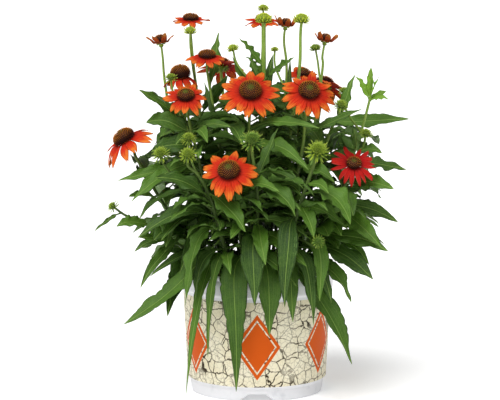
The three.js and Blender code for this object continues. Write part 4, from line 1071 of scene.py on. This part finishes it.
def addBracts(build, head, draw, ring):
    count, out, high, pitch, curl, length, half, tone = ring
    turn = draw() * 2
    for k in range(count):
        angle = 2 * math.pi * (k + turn + 0.3 * draw()) / count
        tilt, grow = math.radians(pitch + 14 * (draw() - 0.5)), length * (0.85 + 0.3 * draw())
        shade = tone + 0.4 * (draw() - 0.5)
        addBract(build, head, angle, out, high, tilt, math.radians(curl), grow, half, shade)


# Rings of bracts: count, start out and up, pitch, curl, length and half width. Under a bloom in shares
# of the cone's radius, on a bud in shares of its size
underBloom = (
    (10, 0.3, -0.16, -28, 12, 0.5, 0.085),
    (12, 0.34, -0.12, -14, 10, 0.5, 0.085),
    (12, 0.36, -0.08, -2, 4, 0.46, 0.08),
)
onBud = (
    (11, 0.42, -0.42, -30, 8, 0.8, 0.1),
    (13, 0.5, -0.26, -6, 10, 0.86, 0.1),
    (13, 0.54, -0.06, 18, 14, 0.74, 0.09),
    (12, 0.5, 0.1, 44, 10, 0.56, 0.08),
)
cupBud = (
    (11, 0.34, -0.5, -8, 46, 0.7, 0.14),
    (12, 0.5, -0.4, 14, 50, 0.76, 0.14),
    (13, 0.6, -0.2, 44, 34, 0.62, 0.13),
)
budTones = dict(usual=0.42, dark=0.1, darkOnes=(2, 17), fresh=1.0, freshOnes=(0, 1, 10, 11, 13, 14))
cupOnes = (0, 1, 10, 11, 12, 13, 14)
budShape = dict(wide=(0.54, 0.66), high=0.5, spines=(30, 7), spineLong=(0.42, 0.17), spineHalf=0.055)
receptacle = dict(
    highs=(-5.4, -4, -2.4, -1.2), neck=(1.9, 3.2), cup=(0.3, 0.44), sides=16, tone=0.4, bractTone=0.45
)


def addReceptacle(build, bloom, draw):
    radius, shape = bloom.cone[0], receptacle
    path = [bloom.at + bloom.w * h for h in shape["highs"]]
    radii = [*shape["neck"], *(share * radius for share in shape["cup"])]
    build.tube(path, radii, shape["sides"], 2, shape["tone"])
    for count, out, high, pitch, curl, length, half in underBloom:
        sizes = (length * radius, half * radius)
        ring = (count, out * radius, high * radius, pitch, curl, *sizes, shape["bractTone"])
        addBracts(build, bloom, draw, ring)


def addBud(build, bud, draw, tone, cup):  # open and spiny, or still a cup of bracts
    size, tall = bud.size, budShape["high"]
    a = np.linspace(-1.3, math.pi / 2, 10)[:-1]
    wide = budShape["wide"][cup]
    outs, highs = wide * np.cos(a) * size, (tall * np.sin(a) - 0.05) * size
    build.dome(bud, outs, highs, -0.6 * size, 0.47 * size, 20, 2, (0.12, 0, tone))
    for count, out, high, pitch, curl, length, half in cupBud if cup else onBud:
        ring = (count, out * size, high * size, pitch, curl, length * size, half * size, tone)
        addBracts(build, bud, draw, ring)
    number = int(budShape["spines"][0] + budShape["spines"][1] * size)
    k = np.arange(number)
    a = np.arcsin(0.1 + 0.9 * (k + 0.5) / number)
    angle = k * plant["goldenAngle"]
    roots = bud.on((wide - 0.04) * size * np.cos(a), angle, (tall * np.sin(a) - 0.07) * size)
    ways = bud.on(np.cos(a), angle, np.sin(a) + 0.5) - bud.at
    length = budShape["spineLong"][cup] * size * (0.8 + 0.4 * np.sin(17 * k) ** 2)
    radii = np.full(number, budShape["spineHalf"] * size)
    build.spines(roots, ways, length, radii, 2, (np.zeros(number), tone))


stemShape = dict(
    slim=0.82, steps=56, sides=12, ribs=0.05, tone=0.5, branchSteps=16, branchSides=10, branch=(1.5, 1.2)
)


def makeLeafyStem(index, skins):
    build = Build()
    draw = makeRandom(900 + index)
    foot, _, (thick, thin) = stems[index]
    shape = stemShape
    path = samplePath(curves[index], shape["steps"])
    radii = shape["slim"] * np.append(thick, thick + (thin - thick) * np.linspace(0, 1, len(path)))
    build.tube([(*foot, plant["stemFoot"]), *path], radii, shape["sides"], 1, shape["tone"], shape["ribs"])
    for k, leaf in enumerate(grownLeaves):
        if leaf.stem == index:
            addLeaf(build, leaf, k >= mainLeaves)
    for bloom in bloomList:
        if bloom.stem == index:
            addReceptacle(build, bloom, draw)
    for k, bud in enumerate(budList):
        if bud.stem == index:
            if bud.start:
                branch = samplePath(branchCurve(bud), shape["branchSteps"])
                radii = np.linspace(*shape["branch"], len(branch))
                build.tube(branch, radii, shape["branchSides"], 1, shape["tone"], shape["ribs"])
            kind = "dark" if k in budTones["darkOnes"] else "fresh" if k in budTones["freshOnes"] else "usual"
            addBud(build, bud, draw, budTones[kind], k in cupOnes)
    number = "%02d" % (index + 1)
    return build.piece("leafyStem_" + number, skins, "stem_" + number)


rayShape = dict(
    rows=18, cols=13, widen=1.18, thick=0.2, ribs=0.34, cup=0.8, notch=0.09, corner=0.06, lowLong=0.08, lowSag=9
)
discShape = dict(half=0.5, sides=28, tone=0.5)
rayVary = dict(turn=0.025, long=0.09, half=0.14, sag=11, bow=2.4, roll=1.6, ripple=0.9, notch=0.06)


def makeRays(bloom, skins, slot):
    build = Build()
    draw = makeRandom(700 + bloom.index)
    shape = rayShape
    x = np.linspace(0, 1, shape["rows"])[:, None]
    t = np.linspace(-1, 1, shape["cols"])[None, :]
    for ray in bloom.rayList():
        vary = {key: value * (2 * draw() - 1) for key, value in rayVary.items()}
        angle = ray["angle"] + vary["turn"]
        radial = bloom.u * math.cos(angle) + bloom.v * math.sin(angle)
        across = bloom.v * math.cos(angle) - bloom.u * math.sin(angle)
        lower = max(-radial[2], 0)
        ray["long"] *= 1 + vary["long"] + shape["lowLong"] * lower
        ray["hang"] += math.radians(vary["sag"] + shape["lowSag"] * lower)
        lean = 0.05 * (draw() - 0.5) * t
        notch = shape["notch"] + vary["notch"]
        inner, outer = notch * (1 - 2 * np.abs(t)) ** 2, shape["corner"] * (2 * np.abs(t) - 1) ** 2
        tip = np.where(np.abs(t) < 0.5, inner, outer)
        s = x * (1 - tip + lean)
        wider = 1 + (shape["widen"] - 1) * np.sin(math.pi * x)
        half = bloom.rayHalf(s) * wider * (1 + vary["half"] * x)
        half = half * np.sqrt(1 - 0.6 * np.clip((x - 0.72) / 0.28, 0, 1) ** 2)
        out, high = bloom.rayLine(ray, s)
        near, far = (1 - 2 * s) * ray["long"], 2 * s * ray["long"]
        run = near * math.cos(ray["rise"]) + far * math.cos(ray["hang"])
        climb = near * math.sin(ray["rise"]) - far * math.sin(ray["hang"])
        normal = unit(bloom.w * run[..., None] - radial * climb[..., None])
        lift = shape["ribs"] * np.cos(3 * math.pi * t) * np.sin(math.pi * x) - shape["cup"] * t**2 * x
        lift = lift + vary["roll"] * t * x + vary["ripple"] * np.sin(5 * x + 7 * draw()) * x * t
        bow = (ray["bow"] * 6 + vary["bow"]) * s**2
        middle = bloom.on(out, angle, high) + across * (t * half + bow)[..., None]
        span = (s * ray["long"], t * half, 1)
        build.blade(middle + normal * lift[..., None], normal, shape["thick"], 0, (s, t, draw()), span)
    ends = [bloom.at - bloom.w * discShape["half"], bloom.at + bloom.w * discShape["half"]]
    build.tube(ends, [bloom.disc, bloom.disc], discShape["sides"], 0, discShape["tone"])
    number = "%02d" % (bloom.index + 1)
    return build.piece("rayFlorets_" + number, skins, "rays_" + number)


coneShape = dict(
    rows=16, sides=36, cell=4.2, shrink=0.82, length=3.6, radius=0.62, lowest=0.46, shorter=0.45, thinner=0.3,
    fullSize=12,
)
crowns = (0.9, 1, 0.9, 0.5, 1.2, 0, 0, 0.8, 0.5, 0.5, 0.1, 0.1, 0.3, 0.3, 1, 1)  # how green each cone's top is


def makeCone(bloom, skins):
    build = Build()
    shape = coneShape
    radius, height = bloom.cone
    crown = crowns[bloom.index]
    shares = np.linspace(0, 1, shape["rows"])[:-1]
    shrink = shape["shrink"]
    outs, highs = bloom.coneLine(shares)
    top = float(bloom.coneLine(1)[1]) * shrink
    build.dome(bloom, outs * shrink, highs * shrink, 0, top, shape["sides"], 0, (0, shares, crown))
    number = int(2 * math.pi * radius * (0.45 * radius + 0.62 * height) / shape["cell"])
    k = np.arange(number)
    level = -shape["lowest"] + (1 + shape["lowest"]) * (k + 0.5) / number
    share = (np.arcsin(level) + coneForm["start"]) / (math.pi / 2 + coneForm["start"])
    out, high = bloom.coneLine(share)
    angle = k * plant["goldenAngle"]
    roots = bloom.on(out * shrink, angle, high * shrink)
    ways = bloom.on(np.sqrt(1 - level**2), angle, level + 0.35) - bloom.at
    length = shape["length"] * (1 - shape["shorter"] * share) * min(radius / shape["fullSize"], 1)
    radii = np.full(number, shape["radius"]) * (1 - shape["thinner"] * share)
    build.spines(roots, ways, length, radii, 0, (share, crown))
    number = "%02d" % (bloom.index + 1)
    return build.piece("spinyCone_" + number, skins, "cone_" + number)


leafSkin, stemSkin, budSkin = makeLeafSkin(), makeStemSkin(), makeBudSkin()
for i in range(len(stems)):
    makeLeafyStem(i, [leafSkin, stemSkin, budSkin])
print("stems, leaves and buds made")

raySkins = {key: makeRaySkin(key) for key in ("orange", "red", "dull")}
coneSkin = makeConeSkin()
for bloom in bloomList:
    key = "red" if bloom.index == 7 else "dull" if bloom.disc > bloom.cone[0] else "orange"
    makeRays(bloom, [raySkins[key]], "ray_red" if key == "red" else "ray_orange")
    makeCone(bloom, [coneSkin])
print("blooms made")

potShape = dict(sides=168, innerSides=120, notches=4, notchHigh=9, notchTop=10, notchFoot=22, wall=9.5)
potRing = dict(inside=77, middle=80, beside=0.004, near=0.012)  # the foot ring, and how sharp its notches are
bandShape = dict(out=5.5, high=105.5, steps=12)
potFoot = [(0, 10), (74, 10), (76.4, 9.8), (77.6, 9.1), (78, 8), (78, 0.7), (78.7, 0), (81.4, 0), (82.1, 0.7)]
potFoot += [(82.2, 5), (82.2, 9.4), (82.2, 15.6), (82.4, 16.3), (83.1, 16.6), (85.1, 16.9), (85.7, 17.3)]
potFoot += [(85.9, 18.3)]
potBand = [
    (85.9 + bandShape["out"] * k / bandShape["steps"], 18.3 + bandShape["high"] * k / bandShape["steps"])
    for k in range(1, bandShape["steps"] + 1)
]
potRim = [(91.5, 125.5), (91.7, 127.3), (92.2, 128.4), (93.4, 129.1), (94, 130), (94.1, 131.2), (94.5, 139)]
potRim += [(94.95, 147.4), (94.6, 147.9), (94.5, 148.3), (94.6, 148.7), (95, 149.2), (95, 153.4), (94.7, 154.4)]
potRim += [(94, 155), (93.1, 155), (92.4, 154.6), (91.9, 153.6), (91.6, 151), (88, 94), (84, 30), (83.1, 16)]
potRim += [(82.4, 14), (80, 13.2), (0, 13)]


def notched(r, z, angle):  # the foot ring rises in four wedges
    quarter = 2 * math.pi / potShape["notches"]
    off = (angle + math.pi / 2 + quarter / 2) % quarter - quarter / 2
    side = np.abs(r * np.sin(off))
    slope = potShape["notchHigh"] / (potShape["notchFoot"] - potShape["notchTop"])
    rise = np.clip((potShape["notchFoot"] - side) * slope, 0, potShape["notchHigh"]) * (r > potRing["inside"])
    return r, z + rise * np.maximum(0, 1 - z / potShape["wall"])


def potAngles():
    quarter = 2 * math.pi / potShape["notches"]
    even = np.arange(potShape["sides"]) * 2 * math.pi / potShape["sides"]
    corners = [
        -math.pi / 2 + k * quarter + way * math.asin(potShape[edge] / potRing["middle"]) + nudge
        for k in range(potShape["notches"])
        for way in (-1, 1)
        for edge in ("notchTop", "notchFoot")
        for nudge in (-potRing["beside"], potRing["beside"])
    ]
    corners = np.array(corners) % (2 * math.pi)
    near = np.abs(even[:, None] - corners[None, :]).min(1) < potRing["near"]
    return np.sort(np.concatenate([even[~near], corners]))


printLook = dict(
    ground=colour(232, 226, 202),
    warm=colour(218, 206, 170),
    crack=colour(52, 42, 28),
    hairline=colour(106, 92, 64),
    shape=colour(204, 84, 8),
    lozenges=6,
    radius=89,
    wide=29,
    high=41,
    middle=68,
    line=(0.76, 0.83),
    soft=0.008,
    boldCell=13,
    thinCell=6,
    bend=5,
    gloss=0.5,
)


def makePrintSkin():
    made, wire, _, _, at = startSkin("printSkin")
    x, y, z = at.split()
    look = printLook
    around = wire.maths("ARCTAN2", x, y * -1) * (look["lozenges"] / (2 * math.pi))
    along = (around - wire.maths("ROUND", around)).size() * (2 * math.pi * look["radius"] / look["lozenges"])
    edge = along / look["wide"] + (z - look["middle"]).size() / look["high"]  # 1 on a lozenge's edge
    bent = at.shift(at.noise(7, 3, 1).stretch(look["bend"], look["bend"], look["bend"]))
    patch = at.noise(30, 3)
    wide = bent.cracks(look["boldCell"]) + at.noise(2, 2) * 0.06
    narrow = bent.cracks(look["thinCell"]) + at.noise(1.2, 2) * 0.06
    bold = (patch.smooth(0.4, 0.6) * 0.5 + 0.5) * wide.smooth(0.09, 0.055)
    thin = narrow.smooth(0.085, 0.05) * (0.7 - patch.smooth(0.4, 0.6) * 0.5)
    tint = (patch.smooth(0.35, 0.7) * 0.5 + at.noise(1.6, 3) * 0.3 - 0.1).mix(look["ground"], look["warm"])
    tint = (thin * 0.8).mix(tint, look["hairline"])
    tint = bold.mix(tint, look["crack"])
    inside = edge.smooth(1 + look["soft"] / 2, 1 - look["soft"] / 2)
    near, far = look["line"]
    line = edge.smooth(near, near + look["soft"]) * edge.smooth(far + look["soft"], far)
    tint = (inside * (1 - line)).mix(tint, look["shape"])
    rough, height = look["gloss"] + at.noise(0.7, 2) * 0.1, at.noise(1.4, 2) * 0.05
    return endSkin(made, tint, rough, height, Specular_IOR_Level=0.12)


plasticLook = dict(
    white=dict(clean=(224, 224, 227), dull=(203, 204, 208), gloss=0.4, grain=0.06),
    black=dict(clean=(20, 20, 22), dull=(54, 46, 38), gloss=0.5, grain=0.16),
)


def makePlasticSkin(key):
    look = plasticLook[key]
    made, _, _, _, at = startSkin(key + "Plastic")
    dust = at.noise(14, 4)
    grain = at.noise(0.6, 2)
    tint = dust.smooth(0.5, 0.85).mix(colour(*look["clean"]), colour(*look["dull"]))
    ripple = at.stretch(0.2, 0.2, 1).noise(9, 2)
    rough = look["gloss"] + grain * 0.1 + dust * 0.06
    return endSkin(made, tint, rough, grain * look["grain"] + ripple * 0.25)


def makeOuterPot():
    build = Build()
    outline = potFoot + potBand + potRim
    stretches = len(outline) - 3
    start = len(potFoot) - 2
    kinds = [1 if start <= k < start + len(potBand) else 0 for k in range(stretches)]
    build.turned(outline, kinds, potAngles(), notched)
    build.piece("whitePot", [makePlasticSkin("white"), makePrintSkin()], "outer_pot")


innerPot = [(0, 14.2), (76, 14.2), (78.4, 14.5), (79.1, 15.6), (88.9, 147), (89.3, 153.4), (89.7, 154.7)]
innerPot += [(91, 155.4), (91.4, 156.1), (91.4, 157.9), (90.8, 158.6), (88.8, 158.6), (88.2, 157.9)]
innerPot += [(87.9, 154), (77.6, 18.4), (76, 16.8), (0, 16.6)]


def makeInnerPot():
    build = Build()
    sides = potShape["innerSides"]
    build.turned(innerPot, 0, np.arange(sides) * math.pi / (sides / 2))
    build.piece("nurseryPot", [makePlasticSkin("black")], "inner_pot")


soilShape = dict(sides=132, ring=1.8, edge=85.6, rough=1.1)
crumbShape = dict(count=900, reach=84, smallest=0.5, more=2.4, above=0.4, lump=(0.5, 1.2))
strawShape = dict(
    count=11, steps=14, cols=5, half=0.9, taper=0.85, thick=0.12, length=60, side=-118, spread=34, skew=26
)
soilLook = dict(
    dark=colour(26, 18, 13),
    brown=colour(62, 44, 30),
    pale=colour(120, 96, 66),
    straw=colour(168, 170, 84),
)


def makeSoilSkin():
    made, _, _, _, at = startSkin("soilSkin")
    crumb = at.noise(2.2, 4)
    tint = crumb.smooth(0.35, 0.7).mix(soilLook["dark"], soilLook["brown"])
    tint = at.noise(1.1, 2).smooth(0.66, 0.74).mix(tint, soilLook["pale"])
    return endSkin(made, tint, 0.82 + crumb * 0.15, crumb * 1.2 + at.noise(0.5, 2) * 0.4)


def makeStrawSkin():
    made, wire, (s, t, tone), _, _ = startSkin("strawSkin")
    streak = wire.node("CombineXYZ", values={0: s * 3, 1: t * 2, 2: tone * 40}).noise(0.6, 3)
    tint = (streak * 0.8 + tone * 0.4 - 0.2).mix(soilLook["straw"], soilLook["pale"])
    return endSkin(made, tint, 0.55 + streak * 0.2, streak * 0.3)


def soilHeight(r):
    return np.interp(r, (0, 42, 86), (142, 141, 138))


def addBed(build, random):  # the soil itself, rough on top
    sides, rings = soilShape["sides"], np.arange(soilShape["edge"], 1, -soilShape["ring"])
    outline = [(0, 17.4), (76, 17.6), (76.7, 18.6), (84.6, 120), (85.9, 137.4)]
    outline += [*zip(rings, soilHeight(rings)), (0, 142)]

    def crumbled(r, z, angle):
        loose = (z > 137.6) * random.uniform(-1, 1, r.shape)
        return r, z + soilShape["rough"] * loose

    build.turned(outline, 0, np.arange(sides) * 2 * math.pi / sides, crumbled)


def addCrumbs(build, random):
    shape, count = crumbShape, crumbShape["count"]
    out = shape["reach"] * np.sqrt(random.uniform(0, 1, count))
    angle = random.uniform(0, 2 * math.pi, count)
    size = shape["smallest"] + shape["more"] * random.uniform(0, 1, count) ** 3
    corners = np.array([(1, 0, 0), (0, 1, 0), (-1, 0, 0), (0, -1, 0), (0, 0, 1), (0, 0, -1)], float)
    high = soilHeight(out) + shape["above"] * size
    middle = np.stack([out * np.cos(angle), out * np.sin(angle), high], -1)
    lumps = middle[:, None, :] + corners * size[:, None, None] * random.uniform(*shape["lump"], (count, 6, 3))
    one = np.array([(k, (k + 1) % 4, 4, -1) for k in range(4)] + [((k + 1) % 4, k, 5, -1) for k in range(4)])
    faces = np.where(one < 0, -1, one + 6 * np.arange(count)[:, None, None]).reshape(-1, 4)
    build.add(lumps, faces, 0, (0, 0, 0), (0, 0, 1))


def addStraws(build, random):  # dry blades that hang over the rim at the left
    shape = strawShape
    for k in range(shape["count"]):
        turn = math.radians(shape["side"] - shape["spread"] * random.uniform())
        way = np.array((math.cos(turn), math.sin(turn), 0))
        skew = np.array((-way[1], way[0], 0)) * random.uniform(-shape["skew"], shape["skew"])
        ends = [way * 70 + (0, 0, 141), way * 84 + skew * 0.4 + (0, 0, 159 + 4 * random.uniform())]
        ends.append(way * 92 + skew * 0.8 + (0, 0, 163))
        ends.append(way * (95 + 6 * random.uniform()) + skew * 1.2 + (0, 0, 150 + 8 * random.uniform()))
        path = samplePath(ends, shape["steps"])
        along = unit(np.gradient(path, axis=0))
        across = unit(np.cross(along, way + (0, 0, 0.4)))
        normal = np.cross(across, along)[:, None, :]
        t = np.linspace(-1, 1, shape["cols"])[None, :]
        x = np.linspace(0, 1, shape["steps"] + 1)[:, None]
        half = shape["half"] * (1 - shape["taper"] * x)
        middle = path[:, None, :] + across[:, None, :] * (t * half)[..., None]
        span = (x * shape["length"], t * half, 1)
        build.blade(middle, normal, shape["thick"], 1, (x, t, k / shape["count"]), span)


def makeSoil():
    build = Build()
    random = np.random.default_rng(7)
    for add in (addBed, addCrumbs, addStraws):
        add(build, random)
    build.piece("compostBed", [makeSoilSkin(), makeStrawSkin()], "soil")


makeOuterPot()
makeInnerPot()
makeSoil()
print("pots and soil made")

stage = dict(floor=40, tint=(0.93, 0.93, 0.93, 1), rough=0.9, shine=0.1, glow=0.28)


def makeStage():
    half = stage["floor"] / 2
    mesh = bpy.data.meshes.new("floor")
    corners = [(-half, -half, 0), (half, -half, 0), (half, half, 0), (-half, half, 0)]
    mesh.from_pydata(corners, [], [(0, 1, 2, 3)])
    floor = bpy.data.objects.new("floor", mesh)
    bpy.context.scene.collection.objects.link(floor)
    made = bpy.data.materials.new("floorSkin")
    made.use_nodes = True
    shader = made.node_tree.nodes["Principled BSDF"]
    shader.inputs["Base Color"].default_value = stage["tint"]
    shader.inputs["Roughness"].default_value = stage["rough"]
    shader.inputs["Specular IOR Level"].default_value = stage["shine"]
    shader.inputs["Emission Color"].default_value = stage["tint"]
    shader.inputs["Emission Strength"].default_value = stage["glow"]
    mesh.materials.append(made)
    sun = bpy.data.lights.new("softSun", "SUN")
    sun.energy, sun.angle = light["sun"], math.radians(light["sunSize"])
    lamp = bpy.data.objects.new("softSun", sun)
    bpy.context.scene.collection.objects.link(lamp)
    lamp.rotation_euler = Vector(light["sunFrom"]).to_track_quat("Z", "Y").to_euler()
    world = bpy.data.worlds.new("paleRoom")
    world.use_nodes = True
    sky = world.node_tree.nodes["Background"]
    sky.inputs["Color"].default_value = light["skyColour"]
    sky.inputs["Strength"].default_value = light["sky"]
    bpy.context.scene.world = world
    bpy.context.scene.view_settings.view_transform = "Standard"


makeStage()
print("stage and light set")
